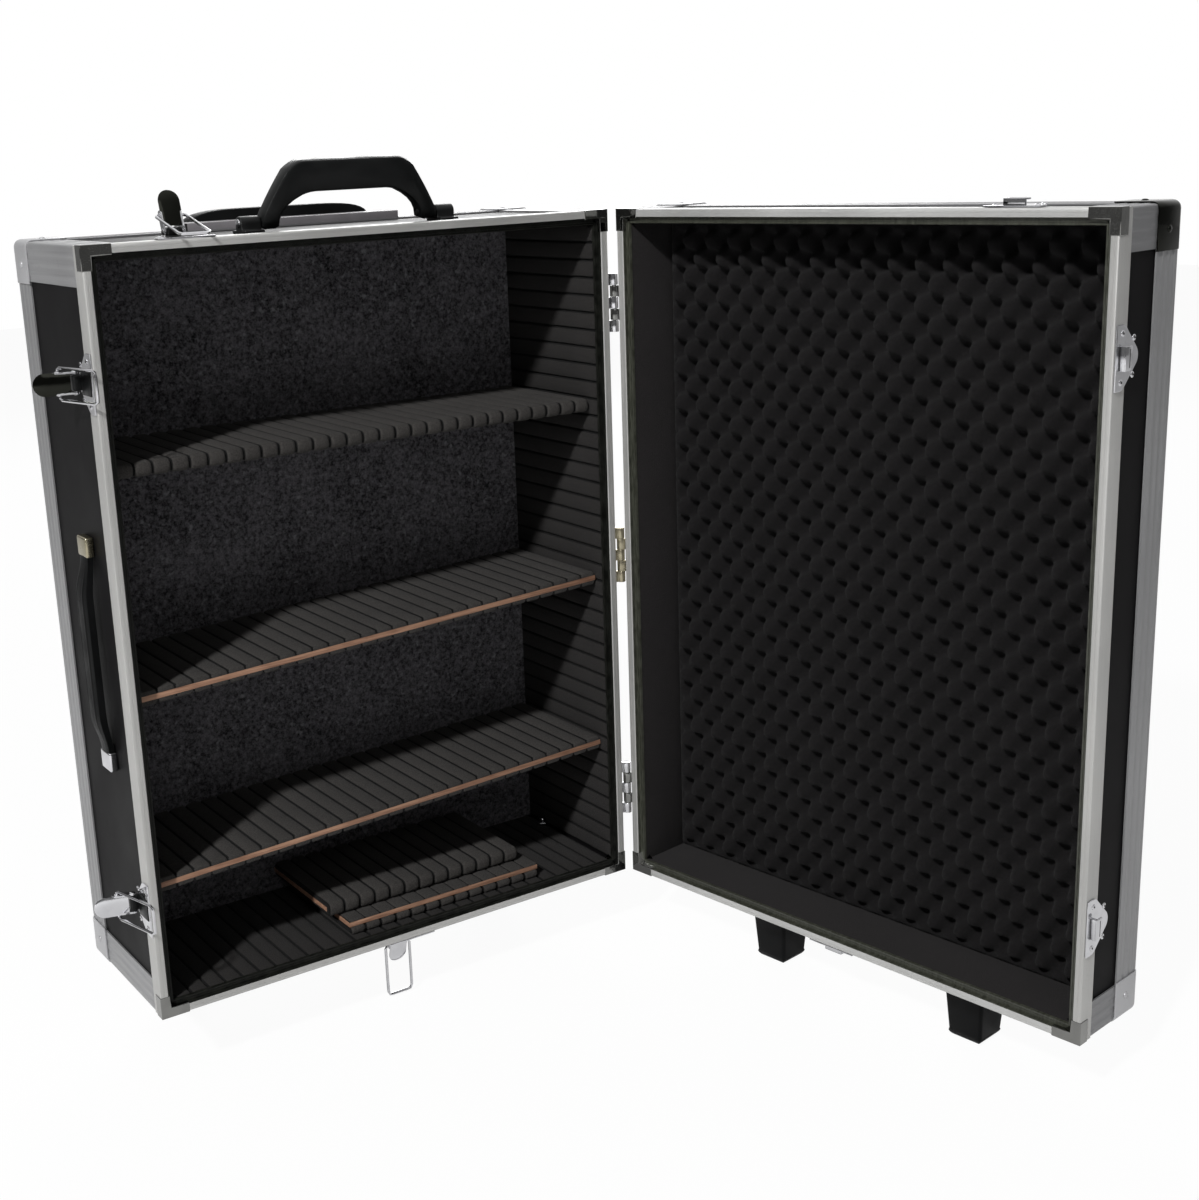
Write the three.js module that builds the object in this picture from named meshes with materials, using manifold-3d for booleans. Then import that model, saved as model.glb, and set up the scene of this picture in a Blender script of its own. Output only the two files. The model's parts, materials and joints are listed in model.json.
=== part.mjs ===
// Upright wheeled case in two hinged halves: an aluminium edged body with foam wrapped shelves, and a
// lid with egg-crate foam. Millimetres, +Z up. The body's outer corner at the closing plane, on the
// side away from the hinges, is (0, 0, 0): X runs to the hinges, Y to the back, Z up.

import * as THREE from 'three';
import { mergeVertices } from 'three/addons/utils/BufferGeometryUtils.js';
import { RoundedBoxGeometry } from 'three/addons/geometries/RoundedBoxGeometry.js';
import Module from 'manifold-3d';

const wasm = await Module();
wasm.setup();

// Driving dimensions: the case
const caseWidth = 463;
const caseHeight = 610;
const bodyDepth = 155;
const lidDepth = 81;
const closingGap = 0.8;
const stance = 68;
const openAngle = 98.7;
const hingeOffset = 4.9;

// Aluminium profiles, boards and foam
const skin = 1.5;
const boardThickness = 4.5;
const foamThickness = 6;
const edgeWidth = 30;
const rimFace = 9.5;
const rimDepth = 6;
const rimStepDepth = 4;
const rimFlange = 16;
const capSize = 32;
const capProud = 1.5;
const capRound = 6;
const capRelief = 20;
const groovePitch = 15.02;
const grooveWidth = 3.6;
const grooveDepth = 3.5;
const eggPitch = 14.6;
const eggBase = 12;
const eggPeak = 30;
const touchGap = 0.3;

// Shelves: front edge, thickness, and where each one's underside is at its free and hinge ends: the
// upper one below the top, the middle one below half the height, the lower one above the bottom
const shelfFront = 15.5;
const shelfThickness = 12;
const shelfEndGap = 0.5;
const upperShelfDrop = 174;
const middleShelfFreeDrop = 48;
const middleShelfHingeDrop = 26;
const lowerShelfFreeRise = 101;
const lowerShelfHingeRise = 121;

// Spare dividers that lie on the floor of the case, each at its own distance from the back foam
const spareWidth = 196;
const spareDepth = 110;
const spareThickness = 13.5;
const lowerSpareLeft = 179;
const lowerSpareClear = 16;
const upperSpareShift = 11;
const upperSpareClear = 2;

// Hinges on the long side: the high one below the top, the middle one above half the height, the low
// one above the bottom
const highHingeDrop = 79;
const middleHingeRise = 1;
const lowHingeRise = 82;
const hingeLength = 50;
const knuckleCount = 5;
const knuckleRadius = 3.6;
const pinRadius = 1.5;
const pinBore = 1.9;
const leafThickness = 1.5;
const leafWidth = 15;

// Latches: lever pivot, crank to the bail, lever, wire and hook
const topLatchAcross = 82;
const highLatchDrop = 99;
const lowLatchRise = 94;
const plateLength = 45;
const plateDepth = 30;
const plateThickness = 1.5;
const leverPivotBack = 27;
const leverPivotOut = 5;
const leverCrank = 12;
const leverLength = 30.5;
const leverWidth = 17;
const leverSheet = 1.2;
const leverLean = 18;
const leverFlange = 1.8;
const wireRadius = 1.25;
const bailHalfWidth = 12;
const bailBend = 3.5;
const hookHalfWidth = 8.5;
const hookStem = 3;
const hookHeight = 6.5;
const hookFront = 4.5;
const hookLip = 5.5;
const bailRestOut = 4;
const latchPinRadius = 1.5;
const latchPinBore = 1.9;

// Carry handle on the top: its centre across the case, the span over its two legs, and its brackets
const handleAcross = 236;
const handleSpan = 157;
const handleBack = 40;
const handlePivotUp = 6.5;
const handleRise = 46.5;
const handleGripHeight = 24.5;
const handleThickness = 15;
const handleTop = 84;
const handleShoulder = 113;
const handleLean = 7;
const handleLegWidth = 15;
const handlePinRadius = 3;
const handlePinBore = 3.4;
const bracketLength = 17;
const bracketRadius = 5.5;
const bracketDepth = 24;

// Strap handle on the free side, its middle a little below half the height
const strapBack = 55;
const strapLength = 191;
const strapDrop = 10.5;
const strapCapLength = 16;
const strapCapWidth = 20;
const strapCapOut = 5.5;
const strapWidth = 22;
const strapThickness = 7;
const strapStandOff = 12;

// Trolley on the back
const trolleyLeft = 134;
const trolleyRight = 330;
const trolleyPlateDepth = 28;
const trolleyPlateUp = 6;
const trolleyDepth = 22;
const trolleyHeadHeight = 44;
const sleeveWidth = 22;
const sleeveDepth = 18;
const sleeveInset = 26;
const sleeveFoot = 60;
const sleeveFootHeight = 24;
const tubeRadius = 6;
const tubeBore = 6.5;
const gripInset = 14;
const gripFlat = 80;
const gripThickness = 12;
const gripDepth = 20;

// Wheels and feet
const wheelRadius = 29;
const wheelWidth = 24;
const wheelInset = 70;
const wheelFromBack = 22;
const axleRadius = 4;
const axleBore = 4.3;
const housingPlate = 6;
const housingCheek = 5;
const wheelSideGap = 1;
const housingDepth = 60;
const footTop = 40;
const footBottom = 30;
const footSpread = 103;
const footFromRim = 62;

// Worked out from the sizes above
const wallStack = skin + boardThickness;
const lining = wallStack + foamThickness;
const rimFront = closingGap / 2;
const degrees = Math.PI / 180;

// Materials
function paint(color, roughness, metalness) {
  return new THREE.MeshStandardMaterial({ color, roughness, metalness });
}
const aluminium = paint(0xa9aaa6, 0.35, 0.9);
const chrome = paint(0xc9c9cc, 0.12, 1);
const darkChrome = paint(0x2a2a2c, 0.1, 1);
const brassy = paint(0xa89a78, 0.3, 0.9);
const blackBoard = paint(0x1f1f21, 0.55, 0);
const blackPlastic = paint(0x17181a, 0.4, 0);
const groovedFoam = paint(0x33312f, 0.95, 0);
const backFoam = paint(0x36363a, 0.95, 0);
const eggFoam = paint(0x1d1d20, 0.95, 0);
const shelfFoam = paint(0x36332f, 0.95, 0);
const tyre = paint(0x1a1a1b, 0.8, 0);

// Solids
function solid(geometry) {
  geometry.deleteAttribute('normal');
  geometry.deleteAttribute('uv');
  const merged = mergeVertices(geometry, 1e-4);
  const mesh = new wasm.Mesh({
    numProp: 3,
    vertProperties: new Float32Array(merged.attributes.position.array),
    triVerts: new Uint32Array(merged.index.array),
  });
  return new wasm.Manifold(mesh);
}

function box(x0, x1, y0, y1, z0, z1) {
  const block = new THREE.BoxGeometry(x1 - x0, y1 - y0, z1 - z0);
  block.translate((x0 + x1) / 2, (y0 + y1) / 2, (z0 + z1) / 2);
  return solid(block);
}

// A round bar along X from x0 to x1
function bar(radius, x0, x1, y, z, sides) {
  const cylinder = new THREE.CylinderGeometry(radius, radius, x1 - x0, sides);
  cylinder.rotateZ(Math.PI / 2);
  cylinder.translate((x0 + x1) / 2, y, z);
  return solid(cylinder);
}

// A round bar along Z from z0 to z1
function post(radius, x, y, z0, z1, sides) {
  const cylinder = new THREE.CylinderGeometry(radius, radius, z1 - z0, sides);
  cylinder.rotateX(Math.PI / 2);
  cylinder.translate(x, y, (z0 + z1) / 2);
  return solid(cylinder);
}

// An outline drawn in X and Z, extruded along Y from y0 to y1
function slabAlongY(outline, y0, y1, curveSegments = 6) {
  const slab = new THREE.ExtrudeGeometry(outline, { depth: y1 - y0, bevelEnabled: false, curveSegments });
  slab.rotateX(Math.PI / 2);
  slab.translate(0, y1, 0);
  return slab;
}

// An outline drawn in Y and Z, extruded along X from x0 to x1
function slabAlongX(outline, x0, x1, curveSegments = 6) {
  const slab = new THREE.ExtrudeGeometry(outline, { depth: x1 - x0, bevelEnabled: false, curveSegments });
  slab.rotateY(Math.PI / 2);
  slab.rotateX(Math.PI / 2);
  slab.translate(x0, 0, 0);
  return slab;
}

const group = new THREE.Group();
const body = new THREE.Group();
const lid = new THREE.Group();
group.add(body, lid);

function place(parent, name, shape, material) {
  let geometry = shape;
  if (shape instanceof wasm.Manifold) {
    const { vertProperties, triVerts } = shape.getMesh();
    geometry = new THREE.BufferGeometry();
    geometry.setAttribute('position', new THREE.BufferAttribute(new Float32Array(vertProperties), 3));
    geometry.setIndex(new THREE.BufferAttribute(new Uint32Array(triVerts), 1));
  }
  geometry.computeVertexNormals();
  const mesh = new THREE.Mesh(geometry, material);
  mesh.name = name;
  parent.add(mesh);
  return mesh;
}

// The two half shells share their sections. Each is made with its depth along +Y; gap is the space
// between pieces that touch.
function rimRing() {
  const outer = box(0, caseWidth, rimFront, rimFlange, 0, caseHeight);
  const behind = box(
    skin, caseWidth - skin, rimDepth, rimFlange + 1, skin, caseHeight - skin,
  );
  const mouth = box(
    lining, caseWidth - lining, rimFront - 1, rimDepth + 1, lining, caseHeight - lining,
  );
  const step = box(
    rimFace, caseWidth - rimFace, rimFront - 1, rimStepDepth, rimFace, caseHeight - rimFace,
  );
  return outer.subtract(behind).subtract(mouth).subtract(step);
}

function edgeFrame(depth, gap) {
  const start = rimFlange + gap;
  const far = depth - edgeWidth;
  let frame = box(0, caseWidth, start, depth, 0, caseHeight);
  frame = frame.subtract(
    box(skin, caseWidth - skin, start - 1, depth - skin, skin, caseHeight - skin),
  );
  const sideWindow = box(-1, caseWidth + 1, start - 1, far, edgeWidth, caseHeight - edgeWidth);
  const topWindow = box(edgeWidth, caseWidth - edgeWidth, start - 1, far, -1, caseHeight + 1);
  const backWindow = box(
    edgeWidth, caseWidth - edgeWidth, far, depth + 1, edgeWidth, caseHeight - edgeWidth,
  );
  frame = frame.subtract(sideWindow).subtract(topWindow).subtract(backWindow);
  for (const [x0, x1] of [[-1, capRelief], [caseWidth - capRelief, caseWidth + 1]]) {
    for (const [z0, z1] of [[-1, capRelief], [caseHeight - capRelief, caseHeight + 1]]) {
      frame = frame.subtract(box(x0, x1, depth - capRelief, depth + 1, z0, z1));
    }
  }
  return frame;
}

// A rounded cap that closes one rear corner over the frame and the boards
function cornerCap(depth, gap, atHinge, atTop) {
  const rounded = new RoundedBoxGeometry(
    caseWidth + 2 * capProud, 2 * capSize, caseHeight + 2 * capProud, 2, capRound,
  );
  rounded.translate(caseWidth / 2, depth + capProud - capSize, caseHeight / 2);
  const x0 = atHinge ? caseWidth - capSize : -capProud - 1;
  const x1 = atHinge ? caseWidth + capProud + 1 : capSize;
  const z0 = atTop ? caseHeight - capSize : -capProud - 1;
  const z1 = atTop ? caseHeight + capProud + 1 : capSize;
  const corner = box(x0, x1, depth - capSize, depth + capProud + 1, z0, z1);
  const boards = box(skin, caseWidth - skin, 0, depth - skin, skin, caseHeight - skin);
  const rx0 = atHinge ? -1 : capRelief - gap;
  const rx1 = atHinge ? caseWidth - capRelief + gap : caseWidth + 1;
  const rz0 = atTop ? -1 : capRelief - gap;
  const rz1 = atTop ? caseHeight - capRelief + gap : caseHeight + 1;
  const over = box(-gap, caseWidth + gap, 0, depth + gap, -gap, caseHeight + gap);
  const alongX = over.intersect(box(rx0, rx1, 0, depth + 1, -1, caseHeight + 1));
  const alongZ = over.intersect(box(-1, caseWidth + 1, 0, depth + 1, rz0, rz1));
  const alongY = over.intersect(
    box(-1, caseWidth + 1, 0, depth - capRelief + gap, -1, caseHeight + 1),
  );
  return solid(rounded).intersect(corner)
    .subtract(boards).subtract(alongX).subtract(alongZ).subtract(alongY);
}

// Points of one straight side of a grooved face, from start to end along one line. The grooves sit at
// the pitch, centred on the side; each is a V cut to the given side.
function groovedSide(length) {
  const ribs = Math.max(1, Math.floor(length / groovePitch));
  const lead = (length - ribs * groovePitch) / 2;
  const points = [];
  for (let groove = 0; groove <= ribs; groove += 1) {
    const at = lead + groove * groovePitch;
    if (at > grooveWidth && at < length - grooveWidth) {
      points.push([at - grooveWidth / 2, 0], [at, grooveDepth], [at + grooveWidth / 2, 0]);
    }
  }
  return points;
}

// Body shell
place(body, 'tub_rim', rimRing(), aluminium);
place(body, 'tub_edge_frame', edgeFrame(bodyDepth, 0), aluminium);
const cornerNames = [['free_low', false, false], ['free_high', false, true],
  ['hinge_low', true, false], ['hinge_high', true, true]];
for (const [corner, atHinge, atTop] of cornerNames) {
  place(body, `tub_corner_${corner}`, cornerCap(bodyDepth, 0, atHinge, atTop), aluminium);
}

const boardsEnd = bodyDepth - skin;
place(
  body,
  'tub_wall_boards',
  box(skin, caseWidth - skin, rimDepth, boardsEnd, skin, caseHeight - skin).subtract(
    box(wallStack, caseWidth - wallStack, 0, bodyDepth, wallStack, caseHeight - wallStack),
  ),
  blackBoard,
);
place(
  body,
  'tub_back_board',
  box(wallStack, caseWidth - wallStack, bodyDepth - wallStack, boardsEnd, wallStack, caseHeight - wallStack),
  blackBoard,
);

// Grooved foam on the four walls: one ring whose inner outline carries the grooves
const innerWidth = caseWidth - 2 * lining;
const innerHeight = caseHeight - 2 * lining;
const ringOutline = new THREE.Shape();
ringOutline.moveTo(wallStack, wallStack);
ringOutline.lineTo(caseWidth - wallStack, wallStack);
ringOutline.lineTo(caseWidth - wallStack, caseHeight - wallStack);
ringOutline.lineTo(wallStack, caseHeight - wallStack);
ringOutline.closePath();
const ringHole = new THREE.Path();
const across = groovedSide(innerWidth);
const upward = groovedSide(innerHeight);
ringHole.moveTo(lining, lining);
for (const [at, deep] of across) {
  ringHole.lineTo(lining + at, lining - deep);
}
ringHole.lineTo(caseWidth - lining, lining);
for (const [at, deep] of upward) {
  ringHole.lineTo(caseWidth - lining + deep, lining + at);
}
ringHole.lineTo(caseWidth - lining, caseHeight - lining);
for (const [at, deep] of [...across].reverse()) {
  ringHole.lineTo(lining + at, caseHeight - lining + deep);
}
ringHole.lineTo(lining, caseHeight - lining);
for (const [at, deep] of [...upward].reverse()) {
  ringHole.lineTo(lining - deep, lining + at);
}
ringHole.closePath();
ringOutline.holes.push(ringHole);
place(body, 'tub_foam_walls', slabAlongY(ringOutline, rimDepth, bodyDepth - wallStack), groovedFoam);
const backFoamFace = bodyDepth - lining;
place(
  body,
  'tub_foam_back',
  box(lining, caseWidth - lining, backFoamFace, bodyDepth - wallStack, lining, caseHeight - lining),
  backFoam,
);

// A panel wrapped in grooved foam, its grooves running front to back on both faces
function wrappedPanel(width, thickness, depth) {
  const outline = new THREE.Shape();
  const side = groovedSide(width);
  outline.moveTo(-width / 2, 0);
  for (const [at, deep] of side) {
    outline.lineTo(-width / 2 + at, deep);
  }
  outline.lineTo(width / 2, 0);
  outline.lineTo(width / 2, thickness);
  for (const [at, deep] of [...side].reverse()) {
    outline.lineTo(-width / 2 + at, thickness - deep);
  }
  outline.lineTo(-width / 2, thickness);
  outline.closePath();
  return slabAlongY(outline, 0, depth);
}

// Shelves, held between the ribs of the side walls
const shelfWidth = innerWidth - 2 * shelfEndGap;
const shelfDepth = backFoamFace - touchGap - shelfFront;
const halfHeight = caseHeight / 2;
const shelfPlaces = [
  ['shelf_upper', caseHeight - upperShelfDrop, caseHeight - upperShelfDrop],
  ['shelf_middle', halfHeight - middleShelfFreeDrop, halfHeight - middleShelfHingeDrop],
  ['shelf_lower', lowerShelfFreeRise, lowerShelfHingeRise],
];
for (const [name, freeEnd, hingeEnd] of shelfPlaces) {
  const panel = wrappedPanel(shelfWidth, shelfThickness, shelfDepth);
  const shelf = place(body, name, panel, shelfFoam);
  shelf.rotation.y = -Math.atan2(hingeEnd - freeEnd, shelfWidth);
  shelf.position.set(caseWidth / 2, shelfFront, (freeEnd + hingeEnd) / 2);
}

const lowerSpare = place(
  body, 'spare_divider_lower', wrappedPanel(spareWidth, spareThickness, spareDepth), shelfFoam,
);
lowerSpare.position.set(
  lowerSpareLeft + spareWidth / 2,
  backFoamFace - lowerSpareClear - spareDepth,
  lining,
);
const upperSpare = place(
  body, 'spare_divider_upper', wrappedPanel(spareWidth, spareThickness, spareDepth), shelfFoam,
);
upperSpare.position.set(
  lowerSpareLeft - upperSpareShift + spareWidth / 2,
  backFoamFace - upperSpareClear - spareDepth,
  lining + spareThickness + touchGap,
);

// Hinges. The pin line stands off the hinge side in the closing plane. Knuckles alternate between the
// halves; the pin belongs to the body's leaf.
const pinLine = caseWidth + hingeOffset;
const knuckle = hingeLength / knuckleCount;
function hingeLeaf(centre, own, side, gap) {
  const low = centre - hingeLength / 2;
  const y0 = side > 0 ? rimFront + 0.2 : -leafWidth - 1;
  const y1 = side > 0 ? leafWidth + 1 : -rimFront - 0.2;
  let leaf = box(caseWidth + gap, caseWidth + leafThickness, y0, y1, low, low + hingeLength);
  const web = box(
    caseWidth + gap, pinLine, Math.min(0, side * knuckleRadius), Math.max(0, side * knuckleRadius),
    low, low + hingeLength,
  );
  leaf = leaf.add(web).add(post(knuckleRadius, pinLine, 0, low, low + hingeLength, 12));
  for (let index = 0; index < knuckleCount; index += 1) {
    if (index % 2 !== own) {
      const clear = knuckleRadius + 0.5;
      leaf = leaf.subtract(box(
        caseWidth - 1, pinLine + clear, -clear, clear,
        low + index * knuckle - touchGap / 2, low + (index + 1) * knuckle + touchGap / 2,
      ));
    }
  }
  if (side > 0) {
    return leaf.add(post(pinRadius, pinLine, 0, low, low + hingeLength, 8));
  }
  return leaf.subtract(post(pinBore, pinLine, 0, low - 1, low + hingeLength + 1, 8));
}
const hinges = [
  ['high', caseHeight - highHingeDrop, chrome],
  ['middle', halfHeight + middleHingeRise, brassy],
  ['low', lowHingeRise, chrome],
];
for (const [name, height, metal] of hinges) {
  place(body, `tub_hinge_${name}`, hingeLeaf(height, 0, 1, 0), metal);
}

// Latch parts, in a frame with X along the rim, Y to the back and Z out of the wall, whose origin is
// in the closing plane on the wall's outer face
function roundedPlate(backward, from, to) {
  const half = plateLength / 2;
  const round = 9;
  const outline = new THREE.Shape();
  const near = rimFront + 0.6;
  outline.moveTo(-half, near);
  outline.lineTo(half, near);
  outline.lineTo(half, near + 10);
  outline.lineTo(half - round, plateDepth);
  outline.lineTo(-half + round, plateDepth);
  outline.lineTo(-half, near + 10);
  outline.closePath();
  const plate = new THREE.ExtrudeGeometry(outline, { depth: to - from, bevelEnabled: false });
  plate.translate(0, 0, from);
  if (!backward) {
    plate.rotateZ(Math.PI);
  }
  return solid(plate);
}

function latchBase() {
  const plate = roundedPlate(true, 0, plateThickness);
  const half = plateLength / 2 - 12;
  const pad = box(-half, half, rimFlange, plateDepth - 2, -skin, plateThickness / 2);
  const blockHalf = leverWidth / 2 - leverFlange - 0.4;
  const blockRadius = 3;
  const block = box(
    -blockHalf, blockHalf, leverPivotBack - blockRadius, leverPivotBack + blockRadius,
    plateThickness / 2, leverPivotOut,
  );
  const round = bar(blockRadius, -blockHalf, blockHalf, leverPivotBack, leverPivotOut, 16);
  const pinHalf = leverWidth / 2 - 0.1;
  const pin = bar(latchPinRadius, -pinHalf, pinHalf, leverPivotBack, leverPivotOut, 12);
  return plate.add(pad).add(block).add(round).add(pin);
}

// The lever lies along +Y from its pivot at the origin, its polished face outwards (+Z)
const sheetInner = 2;
const sheetOuter = sheetInner + leverSheet;
function latchLever() {
  const half = leverWidth / 2;
  const tip = leverLength - half;
  const outline = new THREE.Shape();
  outline.moveTo(-half, 4);
  outline.lineTo(half, 4);
  outline.lineTo(half, tip);
  outline.absarc(0, tip, half, 0, Math.PI, false);
  outline.closePath();
  const sheet = new THREE.ExtrudeGeometry(outline, {
    depth: leverSheet, bevelEnabled: false, curveSegments: 5,
  });
  sheet.translate(0, 0, sheetInner);
  let lever = solid(sheet);
  const flangeEnd = leverCrank + 4;
  const flangeDrop = 2.6;
  for (const x0 of [-half, half - leverFlange]) {
    const x1 = x0 + leverFlange;
    const cheek = box(x0, x1, 0, flangeEnd, -flangeDrop, flangeDrop)
      .add(box(x0, x1, 4, flangeEnd, -flangeDrop, sheetOuter))
      .add(bar(flangeDrop, x0, x1, 0, 0, 12));
    lever = lever.add(cheek);
  }
  lever = lever.subtract(bar(latchPinBore, -half - 1, half + 1, 0, 0, 12));
  const bailBore = wireRadius + 0.4;
  for (const x0 of [-half - 1, half - leverFlange - 0.1]) {
    lever = lever.subtract(bar(bailBore, x0, x0 + leverFlange + 1.1, leverCrank, 0, 12));
  }
  return lever;
}

// Hook of the keeper and the wire's seat behind it
const wireSeatForward = hookFront + hookStem + wireRadius + 0.35;
const wireSeatOut = plateThickness + wireRadius + 0.45;
const closedReach = leverPivotBack + leverCrank + wireSeatForward;
const bailLength = Math.hypot(closedReach, leverPivotOut - wireSeatOut);

// The bail's wire runs from its stubs in the lever, at the origin, along -Y to the cross wire
function latchBail() {
  const stub = leverWidth / 2 - leverFlange + 0.2;
  const near = bailBend * 0.8;
  const corners = [
    [-stub, 0], [-bailHalfWidth, 0], [-bailHalfWidth, -bailLength],
    [bailHalfWidth, -bailLength], [bailHalfWidth, 0], [stub, 0],
  ];
  const route = new THREE.CurvePath();
  let at = new THREE.Vector3(corners[0][0], corners[0][1], 0);
  for (let index = 1; index < corners.length; index += 1) {
    const corner = new THREE.Vector3(corners[index][0], corners[index][1], 0);
    if (index === corners.length - 1) {
      route.add(new THREE.LineCurve3(at, corner));
      break;
    }
    const next = new THREE.Vector3(corners[index + 1][0], corners[index + 1][1], 0);
    const bend = index === 1 || index === corners.length - 2 ? near : bailBend;
    const before = corner.clone().add(at.clone().sub(corner).setLength(bend));
    const after = corner.clone().add(next.clone().sub(corner).setLength(bend));
    route.add(new THREE.LineCurve3(at, before));
    route.add(new THREE.QuadraticBezierCurve3(before, corner, after));
    at = after;
  }
  const ring = new THREE.Shape();
  ring.absarc(0, 0, wireRadius, 0, 2 * Math.PI, false);
  return new THREE.ExtrudeGeometry(ring, { steps: 36, curveSegments: 3, extrudePath: route });
}

function latchKeeper() {
  const plate = roundedPlate(false, touchGap, plateThickness);
  const half = plateLength / 2 - 12;
  const inPlate = (touchGap + plateThickness) / 2;
  const pad = box(-half, half, -(plateDepth - 2), -(rimFlange + 2 * touchGap), -skin, inPlate);
  const stem = box(
    -hookHalfWidth, hookHalfWidth, -(hookFront + hookStem), -hookFront, inPlate, hookHeight,
  );
  const lip = box(
    -hookHalfWidth, hookHalfWidth, -(hookFront + hookStem + hookLip), -hookFront,
    wireSeatOut + wireRadius + 0.5, hookHeight,
  );
  return plate.add(pad).add(stem).add(lip);
}

// Where each latch sits: centre on the closing line, and the turn that carries +Z to its wall's normal
const latchSeats = [
  ['top', [topLatchAcross, 0, caseHeight], 0, false],
  ['side_high', [0, 0, caseHeight - highLatchDrop], -Math.PI / 2, false],
  ['side_low', [0, 0, lowLatchRise], -Math.PI / 2, false],
  ['bottom', [caseWidth / 2, 0, 0], Math.PI, true],
];
for (const [name, seat, turn, hangs] of latchSeats) {
  const latch = new THREE.Group();
  latch.position.set(...seat);
  latch.rotation.y = turn;
  body.add(latch);
  place(latch, `latch_base_${name}`, latchBase(), chrome);

  const lever = place(latch, `latch_lever_${name}`, latchLever(), darkChrome);
  const lift = Math.PI / 2 - leverLean * degrees;
  lever.position.set(0, leverPivotBack, leverPivotOut);
  lever.rotation.x = lift;

  const bail = place(latch, `latch_bail_${name}`, latchBail(), chrome);
  const bailBack = leverPivotBack + leverCrank * Math.cos(lift);
  const bailOut = leverPivotOut + leverCrank * Math.sin(lift);
  bail.position.set(0, bailBack, bailOut);
  const dip = Math.asin((bailOut - bailRestOut) / bailLength);
  bail.rotation.x = hangs ? -Math.PI / 2 : dip;
}

// Carry handle: two low round brackets whose pins run in the legs, and a grip that folds both ways
const legOuter = handleSpan / 2;
const boardTop = caseHeight - skin;
const handlePivot = caseHeight + handlePivotUp;
for (const [name, side] of [['free', -1], ['hinge', 1]]) {
  const inner = side * (legOuter + touchGap);
  const outer = inner + side * bracketLength;
  const pinEnd = side * (legOuter - handleLegWidth);
  const low = Math.min(inner, outer);
  const high = Math.max(inner, outer);
  const foot = box(
    low, high, handleBack - bracketDepth / 2, handleBack + bracketDepth / 2, boardTop, caseHeight + 1.5,
  );
  const web = box(
    low, high, handleBack - bracketRadius, handleBack + bracketRadius, boardTop, handlePivot,
  );
  const barrel = bar(bracketRadius, low, high, handleBack, handlePivot, 20);
  const pin = bar(
    handlePinRadius, Math.min(inner, pinEnd) - 0.5, Math.max(inner, pinEnd) + 0.5,
    handleBack, handlePivot, 16,
  );
  const bracket = place(
    body, `handle_bracket_${name}`, foot.add(web).add(barrel).add(pin), blackPlastic,
  );
  bracket.position.x = handleAcross;
}

function gripOutline() {
  const leg = legOuter;
  const legInner = leg - handleLegWidth;
  const end = handlePivotUp;
  const toe = end * 0.73;
  const top = handleTop / 2;
  const shoulder = handleShoulder / 2;
  const under = handleRise - handleGripHeight;
  const outline = new THREE.Shape();
  const slope = (leg + shoulder) / 2 + 2;
  outline.moveTo(-leg, end * 0.4);
  outline.quadraticCurveTo(-slope, handleRise * 0.45, -shoulder, handleRise * 0.85);
  outline.quadraticCurveTo(-top - 6, handleRise, -top, handleRise);
  outline.lineTo(top, handleRise);
  outline.quadraticCurveTo(top + 6, handleRise, shoulder, handleRise * 0.85);
  outline.quadraticCurveTo(slope, handleRise * 0.45, leg, end * 0.4);
  outline.lineTo(leg, -end * 0.5);
  outline.lineTo(leg - 3, -toe);
  outline.lineTo(legInner + 3, -toe);
  outline.lineTo(legInner, -end * 0.5);
  outline.quadraticCurveTo(legInner, under * 0.5, shoulder - 14, under * 0.9);
  outline.quadraticCurveTo(top - 6, under, top - 12, under);
  outline.lineTo(-top + 12, under);
  outline.quadraticCurveTo(-top + 6, under, -shoulder + 14, under * 0.9);
  outline.quadraticCurveTo(-legInner, under * 0.5, -legInner, -end * 0.5);
  outline.lineTo(-legInner - 3, -toe);
  outline.lineTo(-leg + 3, -toe);
  outline.lineTo(-leg, -end * 0.5);
  outline.closePath();
  return outline;
}
const bevel = 3;
const gripBlank = new THREE.ExtrudeGeometry(gripOutline(), {
  depth: handleThickness - 2 * bevel,
  bevelEnabled: true,
  bevelThickness: bevel,
  bevelSize: bevel,
  bevelOffset: -bevel,
  bevelSegments: 2,
  curveSegments: 5,
});
gripBlank.translate(0, 0, -handleThickness / 2 + bevel);
gripBlank.rotateX(Math.PI / 2);
const gripSolid = solid(gripBlank).subtract(
  bar(handlePinBore, -legOuter - 1, legOuter + 1, 0, 0, 16),
);
const carryHandle = place(body, 'carry_handle', gripSolid, blackPlastic);
carryHandle.position.set(handleAcross, handleBack, handlePivot);
carryHandle.rotation.x = handleLean * degrees;

// Strap handle on the free side: a flexible grip bowed out between two metal caps
const strapTop = halfHeight - strapDrop + strapLength / 2;
const strapBottom = strapTop - strapLength;
function strapCap(low) {
  return box(
    -strapCapOut, skin, strapBack - strapCapWidth / 2, strapBack + strapCapWidth / 2,
    low, low + strapCapLength,
  );
}
place(body, 'strap_cap_high', strapCap(strapTop - strapCapLength), brassy);
place(body, 'strap_cap_low', strapCap(strapBottom), chrome);
const strapLow = strapBottom + strapCapLength;
const strapHigh = strapTop - strapCapLength;
const strapEdge = new THREE.Shape();
const bow = (strapHigh - strapLow) * 0.22;
const outFace = -strapCapOut + 1;
strapEdge.moveTo(outFace, strapLow);
strapEdge.quadraticCurveTo(-strapStandOff, strapLow + bow * 0.4, -strapStandOff, strapLow + bow);
strapEdge.lineTo(-strapStandOff, strapHigh - bow);
strapEdge.quadraticCurveTo(-strapStandOff, strapHigh - bow * 0.4, outFace, strapHigh);
strapEdge.lineTo(outFace + strapThickness * 0.7, strapHigh);
strapEdge.quadraticCurveTo(
  -strapStandOff + strapThickness, strapHigh - bow * 0.5,
  -strapStandOff + strapThickness, strapHigh - bow,
);
strapEdge.lineTo(-strapStandOff + strapThickness, strapLow + bow);
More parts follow.
